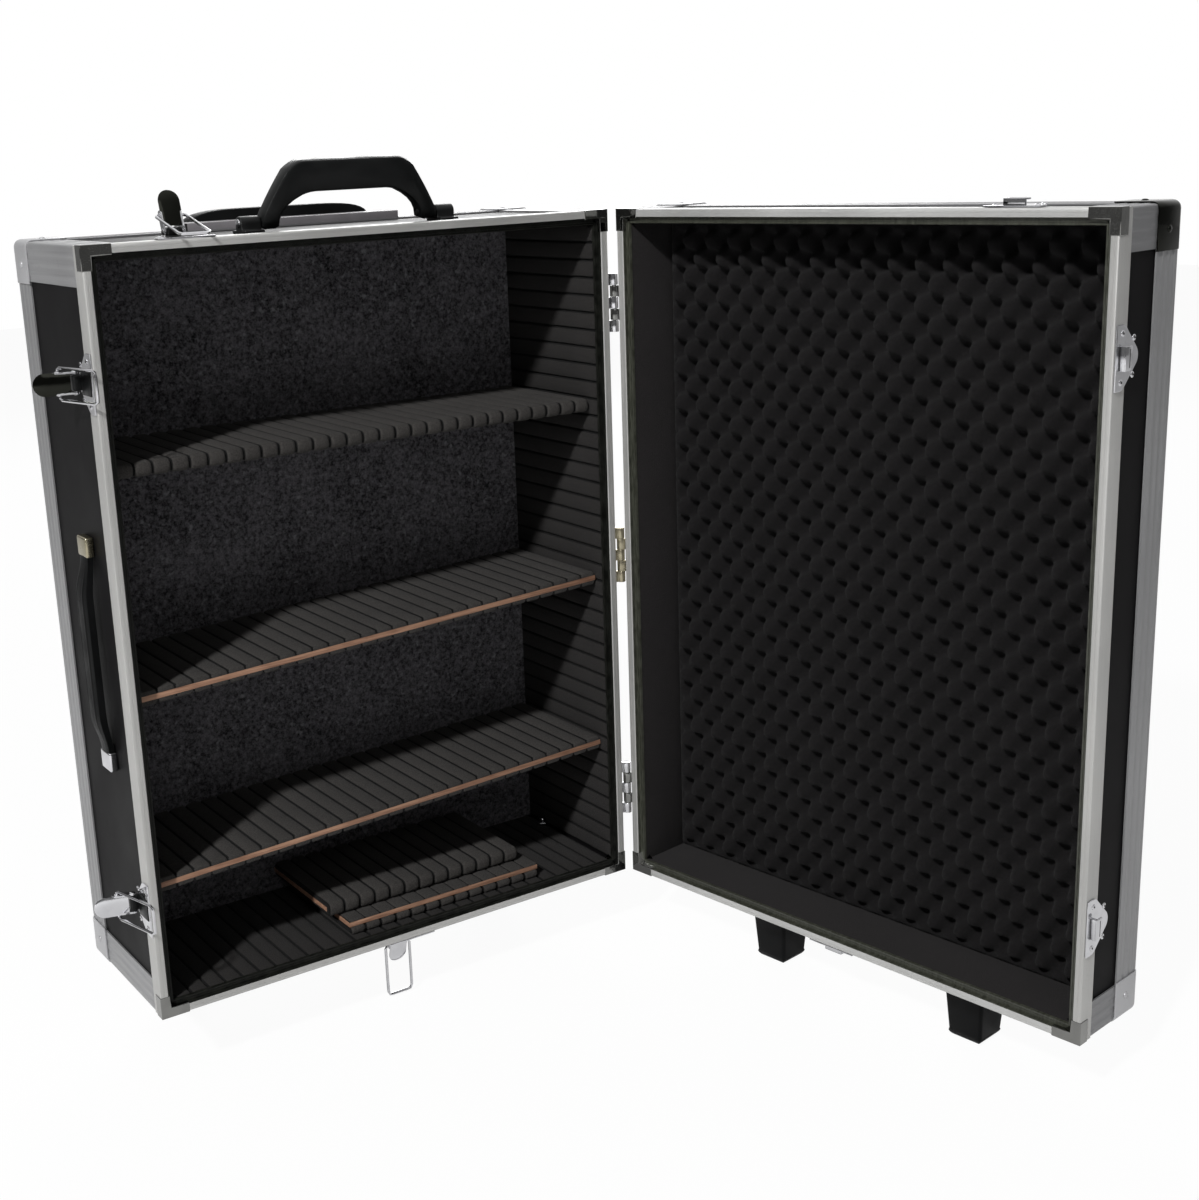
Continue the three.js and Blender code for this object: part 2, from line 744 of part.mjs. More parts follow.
strapEdge.quadraticCurveTo(
  -strapStandOff + strapThickness, strapLow + bow * 0.5,
  outFace + strapThickness * 0.7, strapLow,
);
strapEdge.closePath();
place(
  body,
  'strap_grip',
  slabAlongY(strapEdge, strapBack - strapWidth / 2, strapBack + strapWidth / 2, 6),
  blackPlastic,
);

// Trolley: head plate, two sleeves and foot on the back, tubes and grip that draw out upwards
const headTop = caseHeight + trolleyPlateUp;
const headSeat = headTop - trolleyPlateUp * 0.6;
const trolleyBack = bodyDepth + trolleyDepth;
const sleeveCentres = [trolleyLeft + sleeveInset, trolleyRight - sleeveInset];
const sleeveCentreBack = bodyDepth + sleeveDepth / 2;
const plateFront = bodyDepth - trolleyPlateDepth;
let housing = box(trolleyLeft, trolleyRight, plateFront, bodyDepth, caseHeight, headTop)
  .add(box(trolleyLeft, trolleyRight, bodyDepth - 2, trolleyBack, caseHeight, headSeat))
  .add(box(trolleyLeft, trolleyRight, bodyDepth, trolleyBack, headTop - trolleyHeadHeight, headSeat))
  .add(box(
    trolleyLeft, trolleyRight, bodyDepth - skin, trolleyBack, sleeveFoot, sleeveFoot + sleeveFootHeight,
  ));
for (const x of sleeveCentres) {
  housing = housing.add(box(
    x - sleeveWidth / 2, x + sleeveWidth / 2, bodyDepth, bodyDepth + sleeveDepth,
    sleeveFoot, headSeat,
  ));
}
for (const x of sleeveCentres) {
  housing = housing.subtract(post(tubeBore, x, sleeveCentreBack, sleeveFoot - 1, headTop + 1, 16));
}
place(body, 'trolley_housing', housing, blackPlastic);

const gripLow = headSeat + touchGap;
const gripHigh = gripLow + gripThickness;
const gripLeft = trolleyLeft + gripInset;
const gripRight = trolleyRight - gripInset;
const gripCentre = (trolleyLeft + trolleyRight) / 2;
const gripEdge = new THREE.Shape();
gripEdge.moveTo(gripLeft, gripLow);
gripEdge.quadraticCurveTo(gripLeft, gripHigh, gripCentre - gripFlat / 2, gripHigh);
gripEdge.lineTo(gripCentre + gripFlat / 2, gripHigh);
gripEdge.quadraticCurveTo(gripRight, gripHigh, gripRight, gripLow);
gripEdge.closePath();
let drawHandle = solid(slabAlongY(
  gripEdge, sleeveCentreBack - gripDepth / 2 + 2, sleeveCentreBack + gripDepth / 2 + 2, 8,
));
for (const x of sleeveCentres) {
  drawHandle = drawHandle.add(post(tubeRadius, x, sleeveCentreBack, sleeveFoot + 4, gripLow + 2, 16));
}
place(body, 'trolley_handle', drawHandle, blackPlastic);

// Wheels under the rear edge
const axleUp = wheelRadius - stance;
const wheelBack = bodyDepth - wheelFromBack;
for (const [name, x] of [['free', wheelInset], ['hinge', caseWidth - wheelInset]]) {
  const inner = wheelWidth / 2 + wheelSideGap;
  const outer = inner + housingCheek;
  const cheekOutline = new THREE.Shape();
  const cheekRound = 11;
  cheekOutline.moveTo(bodyDepth - housingDepth, 0);
  cheekOutline.lineTo(wheelBack - cheekRound, axleUp);
  cheekOutline.absarc(wheelBack, axleUp, cheekRound, Math.PI, 2 * Math.PI, false);
  cheekOutline.lineTo(bodyDepth, 0);
  cheekOutline.closePath();
  const plate = box(-outer, outer, bodyDepth - housingDepth, bodyDepth, -housingPlate, 0);
  const left = solid(slabAlongX(cheekOutline, -outer, -inner));
  const right = solid(slabAlongX(cheekOutline, inner, outer));
  const axle = bar(axleRadius, -outer, outer, wheelBack, axleUp, 16);
  const housingMesh = place(
    body, `wheel_housing_${name}`, plate.add(left).add(right).add(axle), blackPlastic,
  );
  housingMesh.position.x = x;

  const section = [
    new THREE.Vector2(axleBore, -wheelWidth / 2),
    new THREE.Vector2(wheelRadius - 4, -wheelWidth / 2),
    new THREE.Vector2(wheelRadius, -wheelWidth / 2 + 4),
    new THREE.Vector2(wheelRadius, wheelWidth / 2 - 4),
    new THREE.Vector2(wheelRadius - 4, wheelWidth / 2),
    new THREE.Vector2(axleBore, wheelWidth / 2),
    new THREE.Vector2(axleBore, -wheelWidth / 2),
  ];
  const disc = new THREE.LatheGeometry(section, 24);
  disc.rotateZ(Math.PI / 2);
  const wheel = place(body, `wheel_${name}`, disc, tyre);
  wheel.position.set(x, wheelBack, axleUp);
}

// Lid. Its pieces are made in the closed place: the shell is drawn with its depth along +Y and turned
// half round about the middle of the closing plane, then the whole lid swings open about the pin line.
const lidShell = new THREE.Group();
lidShell.rotation.z = Math.PI;
lidShell.position.set(caseWidth, 0, 0);
const lidFrame = new THREE.Group();
lidFrame.position.x = -pinLine;
lidFrame.add(lidShell);
lid.add(lidFrame);
lid.position.x = pinLine;
lid.rotation.z = openAngle * degrees;

place(lidShell, 'lid_rim', rimRing(), aluminium);
place(lidShell, 'lid_edge_frame', edgeFrame(lidDepth, touchGap), aluminium);
for (const [corner, atHinge, atTop] of cornerNames) {
  const cap = cornerCap(lidDepth, touchGap, !atHinge, atTop);
  place(lidShell, `lid_corner_${corner}`, cap, aluminium);
}
const lidBoardOut = skin + touchGap;
const lidBoardIn = wallStack + touchGap;
place(
  lidShell,
  'lid_boards',
  box(
    lidBoardOut, caseWidth - lidBoardOut, rimDepth + touchGap, lidDepth - lidBoardOut,
    lidBoardOut, caseHeight - lidBoardOut,
  ).subtract(box(
    lidBoardIn, caseWidth - lidBoardIn, 0, lidDepth - lidBoardIn, lidBoardIn, caseHeight - lidBoardIn,
  )),
  blackBoard,
);
const lidFoamOut = lidBoardIn + touchGap;
const lidFoamEnd = lidDepth - lidBoardIn - touchGap;
place(
  lidShell,
  'lid_foam_walls',
  box(
    lidFoamOut, caseWidth - lidFoamOut, rimDepth + touchGap, lidFoamEnd,
    lidFoamOut, caseHeight - lidFoamOut,
  ).subtract(box(lining, caseWidth - lining, 0, lidDepth, lining, caseHeight - lining)),
  groovedFoam,
);

// Egg-crate foam on the lid's face: peaks and hollows alternate on a square grid
function eggCrate(width, height, back) {
  const columns = Math.round(width / eggPitch);
  const rows = Math.round(height / eggPitch);
  const positions = [];
  const faces = [];
  const front = (column, row) => row * (columns + 1) + column;
  for (let row = 0; row <= rows; row += 1) {
    for (let column = 0; column <= columns; column += 1) {
      const edge = row === 0 || row === rows || column === 0 || column === columns;
      const middle = (eggBase + eggPeak) / 2;
      const high = (row + column) % 2 === 0 ? eggPeak : eggBase;
      const thickness = edge ? middle : high;
      positions.push((column / columns) * width, back - thickness, (row / rows) * height);
    }
  }
  for (let row = 0; row < rows; row += 1) {
    for (let column = 0; column < columns; column += 1) {
      const a = front(column, row);
      const b = front(column + 1, row);
      const c = front(column + 1, row + 1);
      const d = front(column, row + 1);
      if ((row + column) % 2 === 0) {
        faces.push(a, b, d, b, c, d);
      } else {
        faces.push(a, b, c, a, c, d);
      }
    }
  }
  const rim = [];
  for (let column = 0; column < columns; column += 1) rim.push(front(column, 0));
  for (let row = 0; row < rows; row += 1) rim.push(front(columns, row));
  for (let column = columns; column > 0; column -= 1) rim.push(front(column, rows));
  for (let row = rows; row > 0; row -= 1) rim.push(front(0, row));
  const first = positions.length / 3;
  for (const index of rim) {
    positions.push(positions[3 * index], back, positions[3 * index + 2]);
  }
  const hub = positions.length / 3;
  positions.push(width / 2, back, height / 2);
  rim.forEach((index, step) => {
    const following = (step + 1) % rim.length;
    const low = first + step;
    const lowNext = first + following;
    faces.push(index, low, rim[following], rim[following], low, lowNext);
    faces.push(low, hub, lowNext);
  });
  const geometry = new THREE.BufferGeometry();
  geometry.setAttribute('position', new THREE.BufferAttribute(new Float32Array(positions), 3));
  geometry.setIndex(faces);
  return geometry;
}
const crate = place(
  lidShell,
  'lid_egg_foam',
  eggCrate(innerWidth - 2 * touchGap, innerHeight - 2 * touchGap, lidFoamEnd),
  eggFoam,
);
crate.position.set(lining + touchGap, 0, lining + touchGap);

for (const [name, height, metal] of hinges) {
  place(lidFrame, `lid_hinge_${name}`, hingeLeaf(height, 1, -1, touchGap), metal);
}

for (const [name, seat, turn] of latchSeats) {
  const keeper = place(lidFrame, `latch_keeper_${name}`, latchKeeper(), chrome);
  keeper.position.set(...seat);
  keeper.rotation.y = turn;
}

// Feet that carry the lid's side of the standing case
for (const [name, side] of [['free', -1], ['hinge', 1]]) {
  const blank = new THREE.CylinderGeometry(
    footTop / Math.SQRT2, footBottom / Math.SQRT2, stance - touchGap, 4, 1,
  );
  blank.rotateY(Math.PI / 4);
  blank.rotateX(Math.PI / 2);
  const foot = place(lidFrame, `lid_foot_${name}`, solid(blank), blackPlastic);
  foot.position.set(
    caseWidth / 2 + side * footSpread, -footFromRim, -touchGap - (stance - touchGap) / 2,
  );
}

// Origin at the middle of the footprint, on the floor
group.updateMatrixWorld(true);
const extent = new THREE.Box3().setFromObject(group, true);
const middle = extent.getCenter(new THREE.Vector3());
body.position.set(-middle.x, -middle.y, -extent.min.z);
lid.position.add(new THREE.Vector3(-middle.x, -middle.y, -extent.min.z));

export default group;
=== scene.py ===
import math

import bpy
from mathutils import Matrix, Vector
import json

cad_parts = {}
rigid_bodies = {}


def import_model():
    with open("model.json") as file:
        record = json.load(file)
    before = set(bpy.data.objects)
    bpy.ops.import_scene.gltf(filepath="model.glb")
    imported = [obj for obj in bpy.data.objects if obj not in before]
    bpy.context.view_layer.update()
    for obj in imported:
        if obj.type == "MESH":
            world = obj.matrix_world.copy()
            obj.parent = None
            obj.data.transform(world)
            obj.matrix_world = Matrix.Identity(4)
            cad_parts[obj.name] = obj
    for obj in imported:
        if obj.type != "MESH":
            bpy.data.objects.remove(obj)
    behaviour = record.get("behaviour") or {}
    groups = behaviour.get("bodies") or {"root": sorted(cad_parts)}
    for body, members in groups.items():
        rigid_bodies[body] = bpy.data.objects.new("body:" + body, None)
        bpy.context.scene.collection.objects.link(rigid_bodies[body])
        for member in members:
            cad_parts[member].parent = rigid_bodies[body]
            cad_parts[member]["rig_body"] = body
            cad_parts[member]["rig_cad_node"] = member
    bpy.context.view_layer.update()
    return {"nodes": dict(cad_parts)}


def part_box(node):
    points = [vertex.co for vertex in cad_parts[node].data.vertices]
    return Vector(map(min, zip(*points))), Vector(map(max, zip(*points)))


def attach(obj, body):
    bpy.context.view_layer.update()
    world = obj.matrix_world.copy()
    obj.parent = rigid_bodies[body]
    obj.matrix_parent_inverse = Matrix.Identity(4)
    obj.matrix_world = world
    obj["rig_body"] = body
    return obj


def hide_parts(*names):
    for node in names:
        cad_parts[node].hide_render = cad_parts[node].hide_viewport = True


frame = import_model()
nodes = frame["nodes"]


# The camera stands to the left of the open case, a little above its middle, and looks slightly down.
# Places are in millimetres from the body's outer front bottom corner on the free side: X to the
# hinges, Y to the back, Z up. at() turns them into metres in the frame.
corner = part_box("tub_rim")[0] - Vector((0, 0.0004, 0))
WIDE, TALL, DEEP, LID_DEEP = 463.0, 610.0, 155.0, 81.0
HALF_WIDE, HALF_TALL = WIDE / 2, TALL / 2


def at(x, y, z):
    """A place on the closed case, in millimetres, as a point of the frame in metres."""
    return corner + Vector((x, y, z)) / 1000


def axes(x, y, z):
    """The turn that carries X, Y and Z to these three directions."""
    return Matrix((Vector(x), Vector(y), Vector(z))).transposed().to_4x4()


yaw, pitch, roll = 0.5689, -0.2611, -0.0438
forward = Vector((math.cos(pitch) * math.sin(yaw), math.cos(pitch) * math.cos(yaw), math.sin(pitch)))
level = Vector((math.cos(yaw), -math.sin(yaw), 0))
upward = level.cross(forward)
across = math.cos(roll) * level + math.sin(roll) * upward
upright = -math.sin(roll) * level + math.cos(roll) * upward
camera_place = at(-398.79, -1179.07, 664.18)
bpy.ops.object.camera_add()
camera = bpy.context.object
camera.matrix_world = Matrix.Translation(camera_place) @ axes(across, upright, -forward)
camera.data.sensor_width = 36
camera.data.sensor_fit = "HORIZONTAL"
camera.data.lens = 50.03
camera.data.shift_x = 0.0686
camera.data.shift_y = -0.0056
camera.data.clip_end = 60
bpy.context.scene.camera = camera


# Floor and light: a plain white studio. One lamp stands high in front on the left and throws the
# crisp shadow of the top rim on the hinge wall, wide soft ones light the front and the far side, and
# the white room does the rest. The floor shows white and keeps a faint shadow.
class Shade:
    """A socket of a material, with plain arithmetic; add() makes any other node."""

    def __init__(self, tree, socket):
        self.tree = tree
        self.socket = socket

    def add(self, kind, output, inputs, **settings):
        made = self.tree.nodes.new("ShaderNode" + kind)
        for name, value in settings.items():
            setattr(made, name, value)
        for name, value in inputs.items():
            if isinstance(value, Shade):
                self.tree.links.new(value.socket, made.inputs[name])
            else:
                made.inputs[name].default_value = value
        return Shade(self.tree, made.outputs[output])

    def arithmetic(self, operation, first, second):
        return self.add("Math", 0, {0: first, 1: second}, operation=operation)

    def __add__(self, other):
        return self.arithmetic("ADD", self, other)

    def __radd__(self, other):
        return self.arithmetic("ADD", other, self)

    def __sub__(self, other):
        return self.arithmetic("SUBTRACT", self, other)

    def __rsub__(self, other):
        return self.arithmetic("SUBTRACT", other, self)

    def __mul__(self, other):
        return self.arithmetic("MULTIPLY", self, other)

    def noise(self, scale, detail=3.0, stretch=(1, 1, 1), roughness=0.5):
        """Even grain of this many per metre, read from this place; stretch slows it along an axis."""
        place = self.add("VectorMath", 0, {0: self, 1: stretch}, operation="MULTIPLY")
        return self.add("TexNoise", 0,
                        {"Vector": place, "Scale": scale, "Detail": detail, "Roughness": roughness})

    def ramp(self, low, high, dark=0.0, light=1.0):
        return self.add("MapRange", 0, {"Value": self, "From Min": low, "From Max": high,
                                        "To Min": dark, "To Max": light})

    def blend(self, dark, light):
        """A colour between two, by this factor."""
        ends = {6: dark, 7: light}
        inputs = {slot: tone if isinstance(tone, Shade) else (*tone, 1) for slot, tone in ends.items()}
        return self.add("Mix", 2, {0: self, **inputs}, data_type="RGBA")

    def ray_kinds(self):
        """Whether a ray comes from the camera, from a mirroring surface or through glass."""
        outputs = self.tree.nodes.new("ShaderNodeLightPath").outputs
        kinds = ("Is Camera Ray", "Is Glossy Ray", "Is Transmission Ray")
        return [Shade(self.tree, outputs[kind]) for kind in kinds]


def new_finish(name):
    """A new material: returns it, its shader node, and the place on the object in metres."""
    material = bpy.data.materials.new(name)
    material.use_nodes = True
    tree = material.node_tree
    shader = tree.nodes["Principled BSDF"]
    place = tree.nodes.new("ShaderNodeTexCoord")
    return material, shader, Shade(tree, place.outputs["Object"])


def put(shader, **values):
    """Sets or links sockets of a material's shader, named with _ for a space."""
    for name, value in values.items():
        socket = shader.inputs[name.replace("_", " ")]
        if isinstance(value, Shade):
            value.tree.links.new(value.socket, socket)
        elif isinstance(value, tuple):
            socket.default_value = (*value, 1)
        else:
            socket.default_value = value


def dents(height, depth):
    """The surface normal of a relief this deep in metres."""
    return height.add("Bump", 0, {"Height": height, "Distance": depth, "Strength": 1.0})


bpy.ops.mesh.primitive_plane_add(size=14, location=(0, 0, 0))
floor = bpy.context.object
floor.name = "studio_floor"
floor_finish, floor_shader, floor_place = new_finish("studio floor")
put(floor_shader, Base_Color=(0.9, 0.9, 0.9), Roughness=0.9, Specular_IOR_Level=0.1)
seen, glossy, through = floor_place.ray_kinds()
white = seen.add("Emission", 0, {"Color": (1, 1, 1, 1), "Strength": 1.0})
share = (seen + through) * 0.955 + glossy * 0.2
joined = seen.add("MixShader", 0, {0: share, 1: Shade(seen.tree, floor_shader.outputs[0]), 2: white})
seen.tree.links.new(joined.socket, seen.tree.nodes["Material Output"].inputs["Surface"])
floor.data.materials.append(floor_finish)

# The room is white to the eye. As light it is even, and in reflections it is bright overhead and
# behind the case, and dark on the camera's side.
world = bpy.data.worlds.new("studio room")
bpy.context.scene.world = world
world.use_nodes = True
room = Shade(world.node_tree, world.node_tree.nodes["Background"].outputs[0])
seen, glossy, through = room.ray_kinds()
heading = room.add("TexCoord", "Generated", {})
behind = heading.add("VectorMath", "Value", {0: heading, 1: (0.72, 0.69, 0.0)}, operation="DOT_PRODUCT")
overhead = heading.add("VectorMath", "Value", {0: heading, 1: (0, 0, 1)}, operation="DOT_PRODUCT")
mirror = behind.ramp(0.35, 0.9, 0.0, 0.75) + overhead.ramp(0.25, 0.8, 0.0, 0.8) + 0.16
ambient = 0.085
strength = seen + through + glossy * mirror + (1 - seen - through - glossy) * ambient
room.tree.nodes["Background"].inputs["Color"].default_value = (1, 1, 1, 1)
room.tree.links.new(strength.socket, room.tree.nodes["Background"].inputs["Strength"])


def lamp(name, place, target, size, watts):
    """A round soft lamp that looks at a target."""
    bpy.ops.object.light_add(type="AREA", location=place)
    light = bpy.context.object
    light.name = name
    light.data.shape = "DISK"
    light.data.size = size
    light.data.energy = watts
    light.rotation_euler = (Vector(target) - Vector(place)).to_track_quat("-Z", "Y").to_euler()


lamp("key", (-3.1, -1.75, 3.2), (0, 0.05, 0.35), 0.28, 215)
lamp("front", (-0.9, -3.0, 2.1), (0, 0, 0.35), 1.6, 9)
lamp("far side", (1.9, 2.9, 1.7), (0, 0, 0.35), 2.2, 60)

bpy.context.scene.view_settings.view_transform = "Standard"


# Front rims: a mitred ring of anodised aluminium section round the mouth of each half. Its face
# carries two fine lines, its inner step is set back for the other half, and a chrome clip closes
# each mitre. The lid's ring is the same piece, turned round and swung open about the hinge pins.
PIN_OUT, LID_ANGLE = 4.9, math.radians(98.7)


def turned_about(line, angle):
    """A turn about an upright line."""
    return Matrix.Translation(line) @ Matrix.Rotation(angle, 4, "Z") @ Matrix.Translation(-line)


still = Matrix.Identity(4)
swing = turned_about(at(WIDE + PIN_OUT, 0, 0), LID_ANGLE)
shell_open = swing @ turned_about(at(HALF_WIDE, 0, 0), math.pi)


def alone(piece):
    """Only this piece selected and active, out of edit mode."""
    if bpy.context.object and bpy.context.object.mode == "EDIT":
        bpy.ops.object.mode_set(mode="OBJECT")
    bpy.ops.object.select_all(action="DESELECT")
    piece.select_set(True)
    bpy.context.view_layer.objects.active = piece


def settle(piece, name=None):
    """Place, turn and size go into the mesh."""
    alone(piece)
    bpy.ops.object.transform_apply(location=True, rotation=True, scale=True)
    if name:
        piece.name = name
    return piece


def moved(piece, matrix):
    """The piece carried by a matrix; a mirrored one has its faces turned outwards again."""
    alone(piece)
    piece.matrix_world = matrix @ piece.matrix_world
    bpy.ops.object.transform_apply(location=True, rotation=True, scale=True)
    if matrix.determinant() < 0:
        edit(piece)
        bpy.ops.mesh.flip_normals()
        bpy.ops.object.mode_set(mode="OBJECT")
    return piece


def copy_of(piece, name, matrix):
    """A copy with its own mesh, carried by a matrix."""
    alone(piece)
    bpy.ops.object.duplicate(linked=False)
    twin = bpy.context.object
    twin.name = name
    return moved(twin, matrix)


def drop(*patterns):
    """Pieces that were only there to be copied are removed."""
    for pattern in patterns:
        bpy.data.objects.remove(pattern)


def brick(middle, size, name=None):
    """A box by its middle and its size, in metres."""
    bpy.ops.mesh.primitive_cube_add(size=1, location=middle)
    made = bpy.context.object
    made.scale = size
    return settle(made, name)


def edit(piece, mode="FACE"):
    """Edit mode with everything selected."""
    alone(piece)
    bpy.ops.object.mode_set(mode="EDIT")
    bpy.ops.mesh.select_mode(type=mode)
    bpy.ops.mesh.select_all(action="SELECT")


def choose(piece, wanted):
    """Edit mode with the faces chosen whose middle and normal pass the test."""
    edit(piece)
    bpy.ops.mesh.select_all(action="DESELECT")
    bpy.ops.object.mode_set(mode="OBJECT")
    for face in piece.data.polygons:
        face.select = bool(wanted(face.center, face.normal))
    bpy.ops.object.mode_set(mode="EDIT")


def choose_edges(piece, wanted):
    """Edit mode with the edges chosen whose two ends pass the test."""
    edit(piece, "EDGE")
    bpy.ops.mesh.select_all(action="DESELECT")
    bpy.ops.object.mode_set(mode="OBJECT")
    points = piece.data.vertices
    for edge in piece.data.edges:
        edge.select = bool(wanted(points[edge.vertices[0]].co, points[edge.vertices[1]].co))
    bpy.ops.object.mode_set(mode="EDIT")


def smoothed(piece, angle=35):
    """Out of edit mode, shaded smooth up to this angle."""
    alone(piece)
    bpy.ops.object.shade_smooth_by_angle(angle=math.radians(angle))
    return piece


def shaped(piece, kind, **settings):
    """One modifier, applied."""
    alone(piece)
    modifier = piece.modifiers.new("shape", kind)
    for name, value in settings.items():
        setattr(modifier, name, value)
    bpy.ops.object.modifier_apply(modifier=modifier.name)
    return piece


def soft_edges(piece, width, segments=2, angle=30):
    """Small rounded edges, in millimetres, as a press or a mould leaves them."""
    shaped(piece, "BEVEL", width=width / 1000, segments=segments, limit_method="ANGLE",
           angle_limit=math.radians(angle), harden_normals=False)
    return smoothed(piece)


def clothe(piece, finish):
    """The piece takes one finish in place of its own."""
    piece.data.materials.clear()
    piece.data.materials.append(finish)
    return piece


def seat(piece, body, slot, *replaced):
    """The piece's body, and the CAD nodes that it stands for; the slot is not used."""
    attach(piece, body)
    if replaced:
        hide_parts(*replaced)
    return piece


def aluminium(name, tint, stretch, rough=0.36):
    """Satin anodised aluminium: faint drawing lines, cloudy patches and small marks."""
    material, shader, place = new_finish(name)
    lines = place.noise(1500, 2, stretch, 0.6)
    cloud = place.noise(9, 4)
    marks = place.noise(160, 5).ramp(0.63, 0.7)
    tone = lines.ramp(0.3, 0.7) * 0.3 + cloud.ramp(0.35, 0.65) * 0.7
    darker = tuple(value * 0.88 for value in tint)
    lighter = tuple(min(1, value * 1.1) for value in tint)
    put(shader, Metallic=0.5, Base_Color=tone.blend(darker, lighter),
        Roughness=rough + cloud.ramp(0.3, 0.7) * 0.08 + marks * 0.1 + lines.ramp(0.3, 0.7) * 0.04,
        Normal=dents(lines * 0.5 + marks * 0.5, 0.00004))
    return material


# Painted light: the rim's finishes differ in tint by side as well as in grain, lightest on the lid's level
# sides and darkest on the upright sides.
rim_upright = aluminium("light aluminium rim", (0.43, 0.427, 0.415), (1, 1, 0.012))
rim_across_painted_lighter = aluminium("light aluminium rim drawn across", (0.46, 0.457, 0.445), (0.012, 1, 1))
rim_back_painted_lightest = aluminium("light aluminium rim drawn front to back", (0.5, 0.5, 0.49), (1, 0.012, 1))
# The bars drawn across, the body's top and bottom ones and the lid's depth ones, take a darker tint than
# the others: painted shade.
silver = aluminium("satin aluminium", (0.28, 0.28, 0.285), (1, 1, 0.012))
silver_across_painted_darker = aluminium("satin aluminium drawn across, painted darker", (0.2, 0.2, 0.205), (0.012, 1, 1))
silver_back = aluminium("satin aluminium drawn front to back", (0.28, 0.28, 0.285), (1, 0.012, 1))
silver_cap = aluminium("satin pressed aluminium", (0.42, 0.42, 0.43), (1, 1, 1), 0.3)


def chrome(name, tint, rough):
    """Plated metal: bright, with fine scratches and a slight unevenness in its polish."""
    material, shader, place = new_finish(name)
    scratches = place.noise(900, 4, (1, 6, 1.5)).ramp(0.58, 0.72)
    cloud = place.noise(60, 3).ramp(0.35, 0.65)
    darker = tuple(value * 0.86 for value in tint)
    put(shader, Metallic=1.0, Base_Color=cloud.blend(darker, tint),
        Roughness=rough + scratches * 0.12 + cloud * 0.04,
        Normal=dents(cloud * 0.7 + scratches * 0.06, 0.00008))
    return material


bright = chrome("chrome plate", (0.66, 0.66, 0.68), 0.07)
# Painted dark reflection: chrome tinted near black, for the top and high side levers and one of the lid's
# corner caps.
chrome_painted_dark = chrome("chrome plate with painted dark reflection", (0.022, 0.0225, 0.019), 0.07)
# Painted dim reflection: chrome with its tint lowered, for the clips, the lid's high and low hinge leaves
# and the trolley screws.
chrome_painted_dim = chrome("chrome clip with painted dim reflection", (0.25, 0.25, 0.24), 0.06)


def gasket(name, dark, light, gloss):
    """The dark seal in the rims' inner step."""
    material, shader, place = new_finish(name)
    streaks = place.noise(700, 3, (0.2, 1, 0.2)).ramp(0.35, 0.65)
    put(shader, Base_Color=streaks.blend(dark, light), Roughness=0.32 + streaks * 0.15,
        Specular_IOR_Level=gloss, Normal=dents(streaks, 0.00005))
    return material


olive_seal = gasket("olive seal", (0.02, 0.021, 0.015), (0.045, 0.047, 0.036), 0.5)
# Besides the body rim's seal, this black stands as painted shade in the rivets' holes, the screws' slots
# and the corner at the foot of each keeper's hook; it also draws a thin line across the hook's lip.
seal = gasket("black seal and painted shade", (0.004, 0.0042, 0.0036), (0.012, 0.0125, 0.0105), 0.12)


def rim(name):
    """The ring is inset from a plate in steps, each so far inwards and outwards in millimetres."""
    bpy.ops.mesh.primitive_plane_add(size=1, rotation=(math.pi / 2, 0, 0),
                                     location=at(HALF_WIDE, 1.2, HALF_TALL))
    ring = bpy.context.object
    ring.scale = (WIDE / 1000, TALL / 1000, 1)
    settle(ring, name)
    edit(ring)
    steps = [(0.3, 0.5), (0.5, 0.3), (2.3, 0), (0.12, -0.16), (0.12, 0.16), (2.7, 0), (0.4, -0.2),
             (0.4, -0.7), (0.1, -2.9), (2.6, 0), (0.1, -0.4), (0.5, 0), (0.1, 0.4), (1.4, 0), (0.5, -2.0)]
    for inward, outward in steps:
        bpy.ops.mesh.inset(thickness=inward / 1000, depth=outward / 1000, use_even_offset=True)
    bpy.ops.mesh.delete(type="ONLY_FACE")
    near, rim_deep = 0.0001, 0.0148
    low, high = at(0, 0, 0), at(WIDE, 0, TALL)

    def outer(a, b):
        on_side = [abs(a.x - b.x) < near and min(abs(a.x - low.x), abs(a.x - high.x)) < near,
                   abs(a.z - b.z) < near and min(abs(a.z - low.z), abs(a.z - high.z)) < near]
        return any(on_side)

    choose_edges(ring, outer)
    bpy.ops.mesh.extrude_region_move(TRANSFORM_OT_translate={"value": (0, rim_deep, 0)})
    smoothed(ring)
    edit(ring)
    bpy.ops.mesh.normals_make_consistent(inside=False)
    return smoothed(ring)


tub_rim = rim("body_rim_profile")
lid_rim = copy_of(tub_rim, "lid_rim_profile", shell_open)


def by_direction(piece, upright_finish, level_finish, seal_finish):
    """A mitred ring takes the lengthwise finish of each of its sides, whose tints differ as painted light,
    and the seal in its step.
    """
    step_starts = 0.0066
    clothe(piece, upright_finish)
    piece.data.materials.append(level_finish)
    piece.data.materials.append(seal_finish)
    middle = (Vector(piece.bound_box[0]) + Vector(piece.bound_box[6])) / 2
    for face in piece.data.polygons:
        offset = face.center - middle
        sideways = (WIDE / 2000) - math.hypot(offset.x, offset.y)
        level = (TALL / 2000) - abs(offset.z)
        face.material_index = 2 if min(sideways, level) > step_starts else int(level < sideways)


by_direction(tub_rim, rim_upright, rim_across_painted_lighter, seal)
by_direction(lid_rim, rim_upright, rim_back_painted_lightest, olive_seal)
seat(tub_rim, "case_body", "aluminium", "tub_rim")
seat(lid_rim, "lid", "aluminium", "lid_rim")

